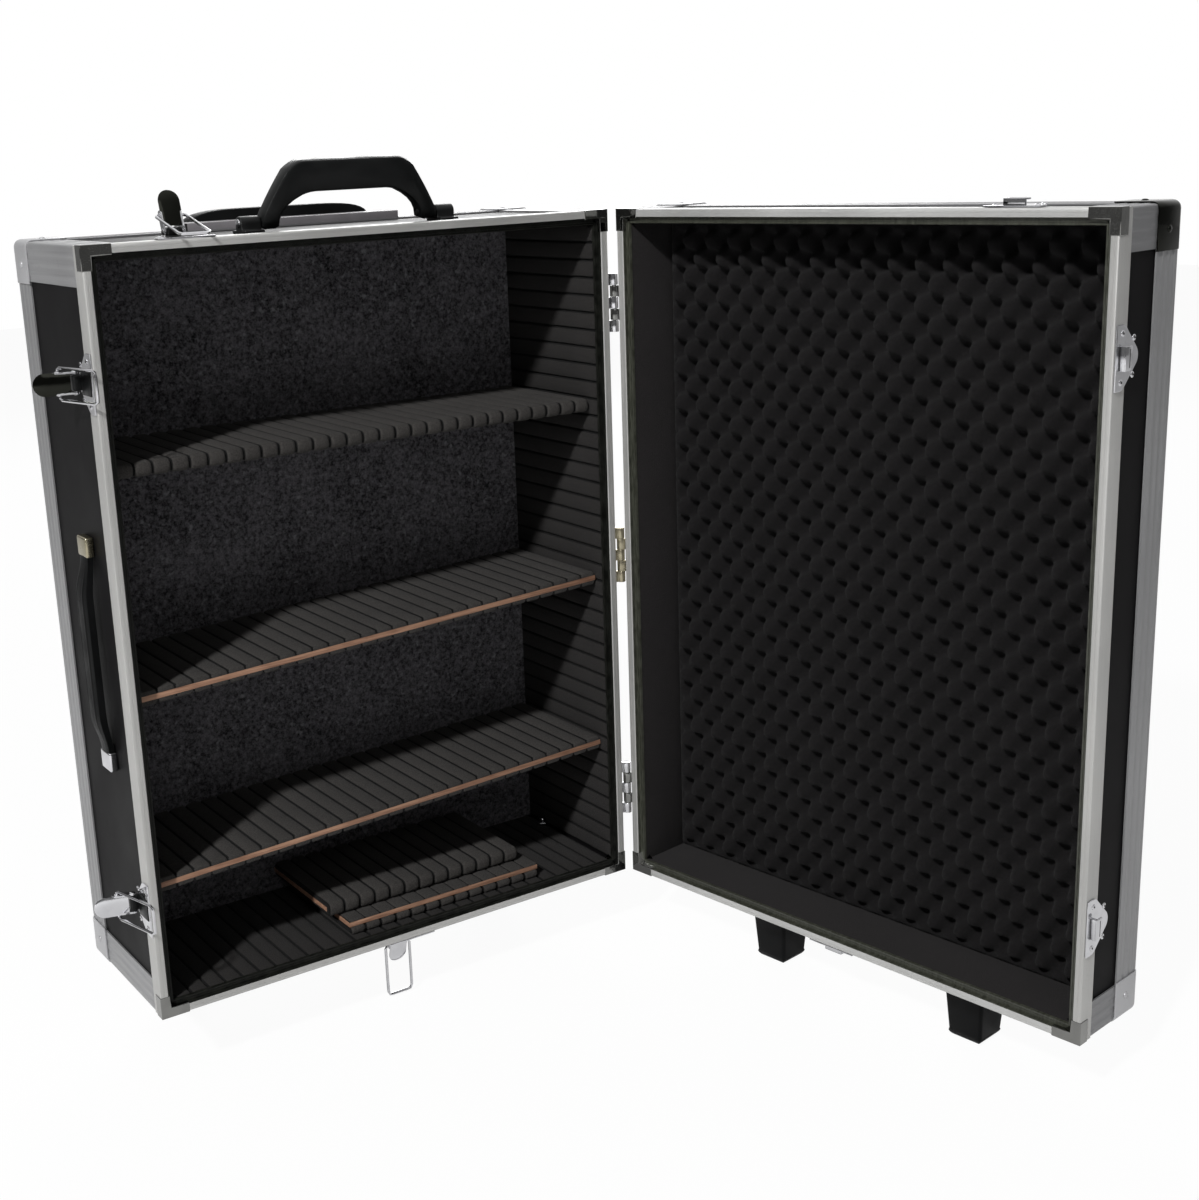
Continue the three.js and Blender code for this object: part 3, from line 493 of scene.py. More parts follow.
# The clips at the mitres are L shaped pressings of chrome, their tint lowered as a painted dim reflection,
# turned round the rim's outer edge.
# They stand just proud of its face, so that the two halves still close.
clip = brick((0.0114, 0.0053, 0.0089), (0.0239, 0.0104, 0.0189))
for normal, place in (((1, 0, 0), (0.0075, 0, 0)), ((0, 0, 1), (0, 0, 0.0075))):
    edit(clip)
    bpy.ops.mesh.bisect(plane_co=place, plane_no=normal)
choose(clip, lambda middle, normal: middle.x > 0.0076 and middle.z > 0.0076)
bpy.ops.mesh.delete(type="FACE")
choose_edges(clip, lambda a, b: min(a.x, b.x) > 0.0074 and min(a.z, b.z) > 0.0074)
bpy.ops.mesh.edge_face_add()
soft_edges(smoothed(clip), 0.45, 3, 40)
clothe(clip, chrome_painted_dim)
corners = [("free_low", (0, 0, 0), (1, 1)), ("free_high", (0, 0, TALL), (1, -1)),
           ("hinge_low", (WIDE, 0, 0), (-1, 1)), ("hinge_high", (WIDE, 0, TALL), (-1, -1))]
for word, spot, (side, up) in corners:
    there = Matrix.Translation(at(*spot)) @ Matrix.Diagonal((side, 1, up, 1))
    seat(copy_of(clip, "body_rim_clip_" + word, there), "case_body", "chrome")
    seat(copy_of(clip, "lid_rim_clip_" + word, shell_open @ there), "lid", "chrome")
drop(clip)


# Edge profiles: ridged L sections that hold the boards together along every outer edge behind the
# rims. Extruded aluminium, its two flanges 30 mm wide, with long ridges and a rounded outer corner.
SHEET = 0.0013


def ridged_edge(length):
    """One length along X, its outer corner on the origin, flanges towards +Y and +Z."""
    first_cut, ridge = 4.5, 4.2
    profile = brick((length / 2000, 0.015, 0.015), (length / 1000, 0.03, 0.03))
    choose(profile, lambda middle, normal: normal.y > 0.5 or normal.z > 0.5 or abs(normal.x) > 0.5)
    bpy.ops.mesh.delete(type="FACE")
    for step in range(6):
        cut = first_cut + ridge * step
        for normal in (Vector((0, 1, 0)), Vector((0, 0, 1))):
            edit(profile)
            bpy.ops.mesh.bisect(plane_co=normal * cut / 1000, plane_no=normal)

    def raised(middle, normal):
        strip = (max(middle.y, middle.z) * 1000 - first_cut) / ridge
        return 0 < strip < 5 and int(strip) % 2 == 0

    choose(profile, raised)
    bpy.ops.mesh.inset(thickness=0.0006, depth=0.00035, use_even_offset=True)
    choose_edges(profile, lambda a, b: max(a.y, b.y) < 1e-5 and max(a.z, b.z) < 1e-5)
    bpy.ops.mesh.bevel(offset=0.0022, segments=4)
    return smoothed(profile)


def joined_as(name, parts):
    """Several pieces made one."""
    alone(parts[0])
    for part in parts:
        part.select_set(True)
    bpy.ops.object.join()
    bpy.context.object.name = name
    return bpy.context.object


def edge_frame(name, depth, matrix, body, replaced, along_x, along_y):
    """The four bars round the back and the four that run from the rim to the back."""
    bars = []
    starts, behind_rim = 20, 16
    level_bar, tall_bar = ridged_edge(WIDE - 2 * starts), ridged_edge(TALL - 2 * starts)
    deep_bar = ridged_edge(depth - starts - behind_rim)

    def lay(bar, spot, along, flange, other, finish):
        there = Matrix.Translation(at(*spot)) @ axes(along, flange, other)
        bars.append(clothe(copy_of(bar, "bar", matrix @ there), finish))

    for up, z in ((1, 0), (-1, TALL)):
        lay(level_bar, (starts, depth, z), (1, 0, 0), (0, -1, 0), (0, 0, up), along_x)
    for side, x in ((1, 0), (-1, WIDE)):
        lay(tall_bar, (x, depth, starts), (0, 0, 1), (0, -1, 0), (side, 0, 0), silver)
        for up, z in ((1, 0), (-1, TALL)):
            lay(deep_bar, (x, behind_rim, z), (0, 1, 0), (side, 0, 0), (0, 0, up), along_y)
    joined = joined_as(name, bars)
    drop(level_bar, tall_bar, deep_bar)
    shaped(joined, "SOLIDIFY", thickness=SHEET, offset=-1)
    seat(smoothed(joined), body, "aluminium", replaced)


edge_frame("body_edge_profiles", DEEP, still, "case_body", "tub_edge_frame", silver_across_painted_darker, silver_back)
edge_frame("lid_edge_profiles", LID_DEEP, shell_open, "lid", "lid_edge_frame", silver_back, silver_across_painted_darker)


# Corner caps: eight pressed aluminium shells that cover the rear corners and the ends of the edge
# profiles, each held by three domed rivets.
CAP = 0.0335
cap = brick((CAP / 2, CAP / 2, CAP / 2), (CAP, CAP, CAP))
choose_edges(cap, lambda a, b: sum(max(pair) < 1e-4 for pair in zip(a, b)) == 2)
bpy.ops.mesh.bevel(offset=0.006, segments=6)
choose(cap, lambda middle, normal: max(normal.x, normal.y, normal.z) > 0.9)
bpy.ops.mesh.delete(type="FACE")
shaped(smoothed(cap), "SOLIDIFY", thickness=SHEET, offset=-1)
soft_edges(cap, 0.3, 2, 50)
clothe(cap, silver_cap)


def stud(radius, rise):
    """A domed rivet head on the origin, rising along +Z, in millimetres."""
    bpy.ops.mesh.primitive_circle_add(vertices=16, radius=radius / 1000, fill_type="NGON")
    head = bpy.context.object
    edit(head)
    bpy.ops.mesh.extrude_region_move(TRANSFORM_OT_translate={"value": (0, 0, rise * 0.25 / 1000)})
    for share, lift in ((0.08, 0.25), (0.17, 0.22), (0.25, 0.18), (0.25, 0.1)):
        bpy.ops.mesh.inset(thickness=radius * share / 1000, depth=rise * lift / 1000)
    return smoothed(head, 60)


def z_to(direction):
    """The turn that carries +Z to a direction."""
    return Vector(direction).to_track_quat("Z", "Y").to_matrix().to_4x4()


def facing(spot, normal, matrix=still):
    """A matrix that stands a piece on a spot of the closed case, its +Z along the normal."""
    return matrix @ (Matrix.Translation(at(*spot)) @ z_to(normal))


rivet = stud(2.6, 1.1)
clothe(rivet, silver_cap)
PROUD, RIVET_IN = 1.5, 19
other_end = {"free": "hinge", "hinge": "free"}
for shell, prefix, depth, matrix, body in (("tub", "body", DEEP, still, "case_body"),
                                           ("lid", "lid", LID_DEEP, shell_open, "lid")):
    for word, spot, (side, up) in corners:
        x, y, z = spot[0] - PROUD * side, depth + PROUD, spot[2] - PROUD * up
        there = Matrix.Translation(at(x, y, z)) @ Matrix.Diagonal((side, -1, up, 1))
        parts = [copy_of(cap, "shell", matrix @ there)]
        in_x, in_y, in_z = x + RIVET_IN * side, y - RIVET_IN, z + RIVET_IN * up
        for place, normal in (((x, in_y, in_z), (-side, 0, 0)), ((in_x, in_y, z), (0, 0, -up)),
                              ((in_x, y, in_z), (0, 1, 0))):
            parts.append(copy_of(rivet, "rivet", facing(place, normal, matrix)))
        end, height = word.split("_")
        node = word if shell == "tub" else other_end[end] + "_" + height
        # This cap of the lid and its rivets take the near-black chrome: painted dark reflection.
        if shell == "lid" and node == "free_high":
            for part in parts:
                clothe(part, chrome_painted_dark)
        seat(joined_as(prefix + "_cap_" + word, parts), body, "aluminium", shell + "_corner_" + node)
drop(cap, rivet)


# Panels: plywood boards faced with a thin black sheet with a fine leather-like grain. Their shape is
# the CAD solids', so these stay and take the finish.
def black_sheet():
    """Black sheet with a fine grain and a few scuffs along its length."""
    material, shader, place = new_finish("black faced board")
    grain = place.noise(1500, 3)
    cloud = place.noise(14, 3).ramp(0.3, 0.7)
    scuffs = place.noise(240, 4, (1, 1, 0.25)).ramp(0.66, 0.76)
    tone = grain.ramp(0.3, 0.7) * 0.5 + cloud * 0.4 + scuffs * 0.5
    put(shader, Base_Color=tone.blend((0.003, 0.0029, 0.0031), (0.0075, 0.0071, 0.0076)),
        Roughness=0.4 + cloud * 0.12 + scuffs * 0.1, Specular_IOR_Level=0.04,
        Normal=dents(grain, 0.00012))
    return material


sheet_black = black_sheet()
for name in ("tub_wall_boards", "tub_back_board", "lid_boards"):
    clothe(nodes[name], sheet_black)


# Grooved foam: black closed foam, 6 mm thick, cut in V grooves 15 mm apart so that a shelf's end is
# held between two ribs. It is glued on the four walls of the body; the ribs run front to back.
PITCH, FOAM_THICK, RIB_LONG = 15.02, 6, 142.6
WALL_IN, FOAM_FRONT = 6, 6.2


def foam(name, dark, light, speck, spots):
    """Cell foam: open cells of uneven size, soft patches where it is pressed, and pale dust specks."""
    material, shader, place = new_finish(name)
    cells = place.noise(speck, 4, roughness=0.75)
    patches = place.noise(22, 3).ramp(0.3, 0.7)
    dust = place.noise(speck * 0.7, 3).ramp(0.6, 0.75)
    tone = cells.ramp(0.36, 0.64) * 0.8 + patches * 0.2
    colour = dust.ramp(0, 1, 0, spots).blend(tone.blend(dark, light), (0.2, 0.2, 0.21))
    put(shader, Base_Color=colour, Roughness=0.95, Specular_IOR_Level=0.05, Sheen_Weight=0.03,
        Sheen_Roughness=0.6, Normal=dents(cells, 0.0008))
    return material


rib_foam = foam("grooved foam", (0.023, 0.0217, 0.0208), (0.055, 0.0513, 0.048), 800, 0.05)
wall_foam = foam("grooved wall foam", (0.011, 0.0104, 0.0102), (0.028, 0.0262, 0.0252), 800, 0.03)
back_foam = foam("back foam", (0.004, 0.004, 0.0044), (0.145, 0.139, 0.15), 300, 0.8)
smooth_foam = foam("lining foam", (0.013, 0.0118, 0.012), (0.023, 0.021, 0.0214), 900, 0.02)
crate_foam = foam("egg-crate foam", (0.0052, 0.0049, 0.0051), (0.0115, 0.0107, 0.0111), 900, 0.02)
# Painted shade: near-black foam for the faces deep in the cuts between ribs.
groove_painted_shade = foam("painted shade in the grooves", (0.003, 0.003, 0.003), (0.007, 0.007, 0.007), 1100, 0.0)


def rib_finish(rib, crown):
    """Grey crowns, and painted shade: near-black foam on the faces in the cuts between them."""
    clothe(rib, rib_foam)
    rib.data.materials.append(groove_painted_shade)
    for face in rib.data.polygons:
        face.material_index = int(not crown(face.center, face.normal))


def side_by_side(rib, ribs):
    """So many copies of a rib in one piece, a pitch apart along X."""
    return shaped(rib, "ARRAY", count=ribs, use_relative_offset=False, use_constant_offset=True,
                  constant_offset_displace=(PITCH / 1000, 0, 0))


def ribbed(name, ribs, length, thick, groove=3.5, width=4.4):
    """Ribs side by side along X, centred, each running along +Y, their crowns at +Z.

    The cuts are made round in a block of another height, and stretched to their depth with it.
    """
    flat = thick / groove * width / 2
    rib = brick((PITCH * (1 - ribs) / 2000, length / 2000, flat / 2000),
                (PITCH / 1000, length / 1000, flat / 1000), name)
    edit(rib)
    for cut in range(1, 6):
        bpy.ops.mesh.bisect(plane_co=(0, length * cut / 6000, 0), plane_no=(0, 1, 0))
        bpy.ops.mesh.select_all(action="SELECT")
    top = flat / 1000 - 1e-5
    choose_edges(rib, lambda a, b: min(a.z, b.z) > top and abs(a.x - b.x) < 1e-6)
    bpy.ops.mesh.bevel(offset=width / 2000, segments=3, profile=0.42)
    choose_edges(rib, lambda a, b: max(a.y, b.y) < 1e-6 and min(a.z, b.z) > 0.0002)
    bpy.ops.mesh.bevel(offset=0.0009, segments=2)
    edit(rib)
    bpy.ops.transform.resize(value=(1, 1, groove / (width / 2)))
    bpy.ops.object.mode_set(mode="OBJECT")
    rib.location.z = -min(vertex.co.z for vertex in rib.data.vertices)
    settle(rib)
    # Faces below the crown, apart from the front ends, take the painted shade.
    rib_finish(rib, lambda middle, normal: middle.z > (thick - 0.9) / 1000 or normal.y < -0.9)
    return smoothed(side_by_side(rib, ribs), 50)


def foam_wall(source, name, spot, along, inward, replaced=()):
    """A wall of ribs whose middle front edge is at a spot; the ribs stack along one direction."""
    piece = copy_of(source, name, Matrix.Translation(at(*spot)) @ axes(along, (0, 1, 0), inward))
    piece.data.materials[0] = wall_foam
    seat(piece, "case_body", "wall_foam", *replaced)


short_ribs = ribbed("short", 29, RIB_LONG, FOAM_THICK)
tall_ribs = ribbed("tall", 39, RIB_LONG, FOAM_THICK)
foam_wall(short_ribs, "floor_foam", (HALF_WIDE, FOAM_FRONT, WALL_IN), (1, 0, 0), (0, 0, 1),
          ("tub_foam_walls",))
foam_wall(short_ribs, "ceiling_foam", (HALF_WIDE, FOAM_FRONT, TALL - WALL_IN), (1, 0, 0), (0, 0, -1))
foam_wall(tall_ribs, "free_side_foam", (WALL_IN, FOAM_FRONT, HALF_TALL), (0, 0, 1), (1, 0, 0))
foam_wall(tall_ribs, "hinge_side_foam", (WIDE - WALL_IN, FOAM_FRONT, HALF_TALL), (0, 0, 1), (-1, 0, 0))
drop(short_ribs, tall_ribs)

back_pad = brick(at(HALF_WIDE, 146, HALF_TALL), (0.4388, 0.0058, 0.5858), "back_foam_sheet")
edit(back_pad)
bpy.ops.mesh.subdivide(number_cuts=24)
soft_edges(smoothed(back_pad), 1.2, 2, 60)
clothe(back_pad, back_foam)
seat(back_pad, "case_body", "back_foam", "tub_foam_back")


# Shelves and spare dividers: a plywood core, bare at its front edge, between two sheets of grooved
# foam. The top shelf's foam is turned down over its front edge. They slide in between the wall ribs.
def plywood():
    """Sawn plywood: thin plies, grain along the edge and uneven stain."""
    material, shader, place = new_finish("plywood edge")
    grain = place.noise(420, 4, (0.15, 1, 1))
    plies = place.noise(900, 1, (0.02, 0.3, 1)).ramp(0.42, 0.58)
    stain = place.noise(30, 3).ramp(0.3, 0.7)
    tone = grain.ramp(0.25, 0.75) * 0.5 + plies * 0.3 + stain * 0.2
    put(shader, Base_Color=tone.blend((0.13, 0.06, 0.036), (0.37, 0.215, 0.14)), Roughness=0.62,
        Specular_IOR_Level=0.3, Normal=dents(grain, 0.0003))
    return material


core_wood = plywood()


def panel_core(name, width, depth, low, high):
    """The wood between the foam sheets, its lowest front edge's middle on the origin."""
    core = brick((0, depth / 2000, (low + high) / 2000), (width / 1000, depth / 1000, (high - low) / 1000),
                 name)
    return soft_edges(core, 0.4)


def wrapped_ribs(name, ribs, depth, thick):
    """Foam turned round a panel's front edge: rounded ribs side by side along X, centred."""
    centre = PITCH * (1 - ribs) / 2000
    rib = brick((centre, depth / 2000, thick / 2000), (PITCH / 1000, depth / 1000, thick / 1000), name)
    front_round, cut, painted_shade_edge = min(5.2, thick * 0.46), 3.6, 1.6
    choose_edges(rib, lambda a, b: max(a.y, b.y) < 1e-6 and abs(a.z - b.z) < 1e-6)
    bpy.ops.mesh.bevel(offset=front_round / 1000, segments=5)
    choose_edges(rib, lambda a, b: abs(a.x - b.x) < 1e-7 and min(a.y, b.y) < depth / 1000 - 1e-5)
    bpy.ops.mesh.bevel(offset=cut / 1000, segments=4, profile=0.5)
    smoothed(rib, 60)
    # Faces near each rib's sides take the painted shade.
    rib_finish(rib, lambda middle, normal: abs(middle.x - centre) < (PITCH / 2 - painted_shade_edge) / 1000)
    return side_by_side(rib, ribs)


def dress_shelf(name, body, middle, tilt, width, depth, levels, ribs, turned_down):
    """One panel: core, upper foam and lower foam, in place."""
    low, high, thick = levels
    groove, foot_left, open_width, overhang = 3.5, 0.4, 4.2, 2.5
    there = Matrix.Translation(at(*middle)) @ Matrix.Rotation(-tilt, 4, "Y")
    core = panel_core(name + "_core", width, depth, low, high)
    setback = 6 if turned_down else 0
    core = moved(core, there @ Matrix.Translation((0, setback / 1000, 0)))
    clothe(core, core_wood)
    seat(core, body, "shelf_foam", body)
    if turned_down:
        sheets = [moved(wrapped_ribs(name + "_foam", ribs, depth, thick), there)]
    else:
        above = thick - high
        crown = ribbed(name + "_top_foam", ribs, depth, above, min(groove, above - foot_left), open_width)
        sheets = [moved(crown, there @ Matrix.Translation((0, 0, high / 1000)))]
        if low > 6:
            under = wrapped_ribs(name + "_under_foam", ribs, depth, low)
            sheets.append(moved(under, there @ Matrix.Translation((0, -overhang / 1000, 0))))
        else:
            under = ribbed(name + "_under_foam", ribs, depth, low, min(groove, low - foot_left), open_width)
            below = there @ Matrix.Translation((0, 0, low / 1000)) @ Matrix.Diagonal((1, 1, -1, 1))
            sheets.append(moved(under, below))
    for sheet in sheets:
        seat(sheet, body, "shelf_foam", body)


SHELF_SPAN, SHELF_FRONT = 438, 15.5
for name, free_end, hinge_end, wrapped in (("shelf_upper", 436, 436, True),
                                           ("shelf_middle", 257, 279, False),
                                           ("shelf_lower", 101, 121, False)):
    tilt = math.atan2(hinge_end - free_end, SHELF_SPAN)
    middle = (HALF_WIDE, SHELF_FRONT, (free_end + hinge_end) / 2)
    dress_shelf(name, name, middle, tilt, SHELF_SPAN - 0.4, 127, (3.6, 8.2, 12), 29, wrapped)
for word, middle, levels, wrapped in (("lower", (277, 17, 12), (7.2, 11.7, 13.5), False),
                                      ("upper", (266, 31, 25.8), (3.8, 8.3, 13.5), True)):
    dress_shelf("spare_" + word, "spare_divider_" + word, middle, 0, 195.6, 110, levels, 13, wrapped)


# Floor nuts: bright fixings of the wheel housings, sunk in the floor foam near the back corners.
bpy.ops.mesh.primitive_cylinder_add(vertices=6, radius=0.0062, depth=0.004)
nut = bpy.context.object
soft_edges(nut, 0.5)
bpy.ops.mesh.primitive_cylinder_add(vertices=20, radius=0.0033, depth=0.0085, location=(0, 0, 0.0015))
thread = settle(soft_edges(bpy.context.object, 0.6))
nut = clothe(joined_as("nut", [nut, thread]), bright)
NUT_Y, NUT_Z = 116, 13
for word, x in (("hinge", 447), ("free", 16)):
    fixing = copy_of(nut, "floor_nut_" + word, Matrix.Translation(at(x, NUT_Y, NUT_Z)))
    seat(fixing, "case_body", "chrome")
drop(nut)


# Lid lining: egg-crate foam with peaks 25 mm apart across and 32 mm up, and thin smooth foam bands
# round its walls. Cut from one block of soft black foam, the peaks lie in slanting rows.
columns, rows, steps = 35, 37, 6
CRATE_MARGIN, CRATE_BACK = 24.6, 74.4
crate_wide, crate_high = (WIDE - CRATE_MARGIN) / 1000, (TALL - CRATE_MARGIN) / 1000
crate_base, crate_relief, mean_level, calm_reach = 12.4, 17.4, 0.34, 0.8
bpy.ops.mesh.primitive_grid_add(x_subdivisions=columns * steps, y_subdivisions=rows * steps, size=1)
crate = bpy.context.object
crate.scale = (crate_wide, crate_high, 1)
settle(crate, "lid_egg_crate")
for vertex in crate.data.vertices:
    u = (vertex.co.x / crate_wide + 0.5) * columns
    v = (vertex.co.y / crate_high + 0.5) * rows
    wave = math.cos(math.pi * u) * math.cos(math.pi * v)
    edge = min(u, columns - u, v, rows - v)
    calm = min(1.0, edge / calm_reach)
    peak = 0.5 + 0.5 * math.sin(math.pi / 2 * wave)
    vertex.co.z = (crate_base + crate_relief * (mean_level + (peak - mean_level) * calm)) / 1000
edit(crate, "EDGE")
bpy.ops.mesh.select_all(action="DESELECT")
bpy.ops.mesh.select_non_manifold()
bpy.ops.mesh.extrude_region_move(TRANSFORM_OT_translate={"value": (0, 0, 0)})
bpy.ops.transform.resize(value=(1, 1, 0), center_override=(0, 0, 0))
smoothed(crate, 180)
lay_back = axes((1, 0, 0), (0, 0, 1), (0, -1, 0))
moved(crate, shell_open @ Matrix.Translation(at(HALF_WIDE, CRATE_BACK, HALF_TALL)) @ lay_back)
clothe(crate, crate_foam)
seat(crate, "lid", "egg_foam", "lid_egg_foam")


def band(name, x0, x1, z0, z1, *replaced):
    """A flat strip of foam along one wall of the closed lid, with soft edges."""
    front, back = 6.4, 74.2
    a, b = at(x0, front, z0), at(x1, back, z1)
    strip = soft_edges(brick((a + b) / 2, b - a, name), 1.0)
    moved(strip, shell_open)
    clothe(strip, smooth_foam)
    seat(strip, "lid", "wall_foam", *replaced)


outside, inside, clear = 6.7, 11.9, 12.0
band("lid_lining_free", outside, inside, outside, TALL - outside, "lid_foam_walls")
band("lid_lining_hinge", WIDE - inside, WIDE - outside, outside, TALL - outside)
band("lid_lining_low", clear, WIDE - clear, outside, inside)
band("lid_lining_high", clear, WIDE - clear, TALL - inside, TALL - outside)


# Small metal and plastic parts that keep the CAD solid's shape: a copy is merged and given the
# rounded edges that a press or a mould leaves.
def rounded_copy(node, name, body, slot, finish, width, segments=2, angle=30):
    alone(nodes[node])
    bpy.ops.object.duplicate(linked=False)
    piece = bpy.context.object
    piece.name = name
    piece.parent = None
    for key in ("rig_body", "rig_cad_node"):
        if key in piece:
            del piece[key]
    edit(piece, "VERT")
    bpy.ops.mesh.remove_doubles(threshold=0.00002)
    bpy.ops.mesh.dissolve_limited(angle_limit=math.radians(1.5))
    bpy.ops.object.mode_set(mode="OBJECT")
    soft_edges(piece, width, segments, angle)
    clothe(piece, finish)
    return seat(piece, body, slot, node)


brassy = chrome("dull brassy plate", (0.42, 0.38, 0.27), 0.26)
# The lid's high and low leaves take the dimmed chrome, the body's the bright one: a painted dim reflection
# on the lid's copies.
for word, slot, body_metal, lid_metal in (("high", "chrome", bright, chrome_painted_dim),
                                          ("middle", "brassy_metal", brassy, brassy),
                                          ("low", "chrome", bright, chrome_painted_dim)):
    rounded_copy("tub_hinge_" + word, "body_hinge_leaf_" + word, "case_body", slot, body_metal, 0.3)
    rounded_copy("lid_hinge_" + word, "lid_hinge_leaf_" + word, "lid", slot, lid_metal, 0.3)


# Latches: a chrome base plate with tubular rivets and a black pivot block, a polished lever with
# turned cheeks, a wire bail in them, and a hooked keeper on the lid. The levers stand open.
def black_moulding(name, dark, light, rough, grain_depth, gloss):
    """Moulded plastic with a fine grain and paler rubbed patches."""
    material, shader, place = new_finish(name)
    grain = place.noise(2100, 2)
    rub = place.noise(48, 4).ramp(0.4, 0.66)
    tone = grain.ramp(0.3, 0.7) * 0.4 + rub * 0.6
    put(shader, Base_Color=tone.blend(dark, light), Roughness=rough + rub * 0.14 + grain * 0.06,
        Specular_IOR_Level=gloss, Normal=dents(grain, grain_depth))
    return material


plastic = black_moulding("black moulded plastic", (0.0013, 0.0016, 0.0017), (0.004, 0.0044, 0.0045),
                         0.3, 0.0001, 0.24)
rubbery = black_moulding("black soft plastic", (0.001, 0.0012, 0.0013), (0.0032, 0.0034, 0.0036),
                         0.4, 0.0002, 0.1)


def block(x0, x1, y0, y1, z0, z1, finish, soft=0.0, segments=2):
    """A box between two corners, in millimetres."""
    piece = brick(((x0 + x1) / 2000, (y0 + y1) / 2000, (z0 + z1) / 2000),
                  ((x1 - x0) / 1000, (y1 - y0) / 1000, (z1 - z0) / 1000))
    if soft:
        soft_edges(piece, soft, segments)
    return clothe(piece, finish)


def rod(radius, start, end, finish, soft=0.0, sides=20):
    """A round bar between two points, in millimetres."""
    a, b = Vector(start) / 1000, Vector(end) / 1000
    bpy.ops.mesh.primitive_cylinder_add(vertices=sides, radius=radius / 1000, depth=(b - a).length)
    piece = bpy.context.object
    piece.matrix_world = Matrix.Translation((a + b) / 2) @ z_to(b - a)
    settle(piece)
    return clothe(soft_edges(piece, soft) if soft else smoothed(piece), finish)


def on_face(head, x, y, z, normal):
    """A copy of a rivet stood on a spot, in millimetres, along a normal."""
    return copy_of(head, "rivet", Matrix.Translation(Vector((x, y, z)) / 1000) @ z_to(normal))


# A domed head with a black rod in its middle: painted shade in the tubular rivet's hole.
hollow_rivet = joined_as("hollow rivet", [clothe(stud(2.3, 0.9), bright),
                                          rod(0.8, (0, 0, 0.4), (0, 0, 1.0), seal)])


def half_plate(towards, low, high):
    """A plate whose far corners are cut off slantwise, on one side of the closing line."""
    half_width, reach = 22.5, 30
    near, far = sorted((towards, reach * towards))
    plate = block(-half_width, half_width, near, far, low, high, bright)
    for side in (-1, 1):
        edit(plate)
        bpy.ops.mesh.bisect(plane_co=(half_width / 1000 * side, 0.011 * towards, 0),
                            plane_no=(19 * side, 9 * towards, 0), use_fill=True, clear_outer=True)
    choose_edges(plate, lambda a, b: abs(a.z - b.z) > 0.0005 and min(a.y * towards, b.y * towards) > 0.005)
    bpy.ops.mesh.bevel(offset=0.003, segments=4)
    return soft_edges(smoothed(plate), 0.4)


def latch_plate():
    """The base on the body: plate, a thin black pad on it, pivot block with its pin, and rivets."""
    parts = [half_plate(1, 0, 1.5), block(-9, 9, 4, 23, 1.3, 2.0, plastic, 0.2)]
    parts.append(block(-6.3, 6.3, 23.4, 30, 1, 8, plastic, 1.8, 4))
    parts.append(rod(1.5, (-8.6, 27, 5), (8.6, 27, 5), bright, 0.3))
    for side in (-1, 1):
        parts.append(on_face(hollow_rivet, 16.5 * side, 8, 1.4, (0, 0, 1)))
        parts.append(on_face(hollow_rivet, 13 * side, 22, 1.4, (0, 0, 1)))
    return joined_as("plate", parts)


def latch_handle(finish):
    """Flat along +Y from its pivot on the origin, polished face up: a tongue between two cheeks."""
    half_width, starts, reach, end_round = 8.5, 3.4, 27.1, 22.0
    bpy.ops.mesh.primitive_grid_add(x_subdivisions=12, y_subdivisions=20, size=2)
    tongue = bpy.context.object
    for vertex in tongue.data.vertices:
        u, v = vertex.co.x, vertex.co.y / 2 + 0.5
        y = starts + reach * math.sin(math.pi * v / 2)
        half = math.sqrt(max(0.5, half_width ** 2 - max(0.0, y - end_round) ** 2))
        lift = 1.7 + 1.1 * (1 - u * u) * half / half_width + 1.2 * math.sin(math.pi * v) + v ** 3
        vertex.co = Vector((u * half, y, lift)) / 1000
    shaped(tongue, "SOLIDIFY", thickness=0.0011, offset=-1)
    parts = [clothe(smoothed(tongue, 50), finish)]
    for side in (-1, 1):
        cheek = block(-0.8, 0.8, -2.6, 16, -2.6, 2.9, bright)
        choose_edges(cheek, lambda a, b: abs(a.x - b.x) > 0.001)
        bpy.ops.mesh.bevel(offset=0.0023, segments=4)
        soft_edges(smoothed(cheek), 0.25, 1)
        parts.append(moved(cheek, Matrix.Translation((side * 0.0077, 0, 0))))
        parts.append(on_face(hollow_rivet, 8.4 * side, 0, 0, (side, 0, 0)))
        parts.append(on_face(hollow_rivet, 8.4 * side, 12, 0, (side, 0, 0)))
    return joined_as("lever", parts)


def latch_hook():
    """The keeper on the lid: plate, a hook bent away from the body for the bail, and rivets."""
    parts = [half_plate(-1, 0.3, 1.5), block(-8.5, 8.5, -7.5, -4.6, 1, 6.4, bright, 0.5)]
    parts.append(block(-8.5, 8.5, -13, -4.6, 5.0, 6.5, bright, 0.6, 3))
    # Two thin black strips: one across the top of the hook's lip, and one at the foot of its stem as
    # painted shade in the corner.
    parts.append(block(-6.4, 6.4, -10.4, -9.6, 6.4, 6.56, seal))
    parts.append(block(-8.5, 8.5, -4.4, -3.6, 1.4, 1.56, seal))
    for side in (-1, 1):
        parts.append(on_face(hollow_rivet, 16.5 * side, -8, 1.4, (0, 0, 1)))
        parts.append(on_face(hollow_rivet, 12.5 * side, -23, 1.4, (0, 0, 1)))
    return joined_as("hook", parts)


plate, hook = latch_plate(), latch_hook()
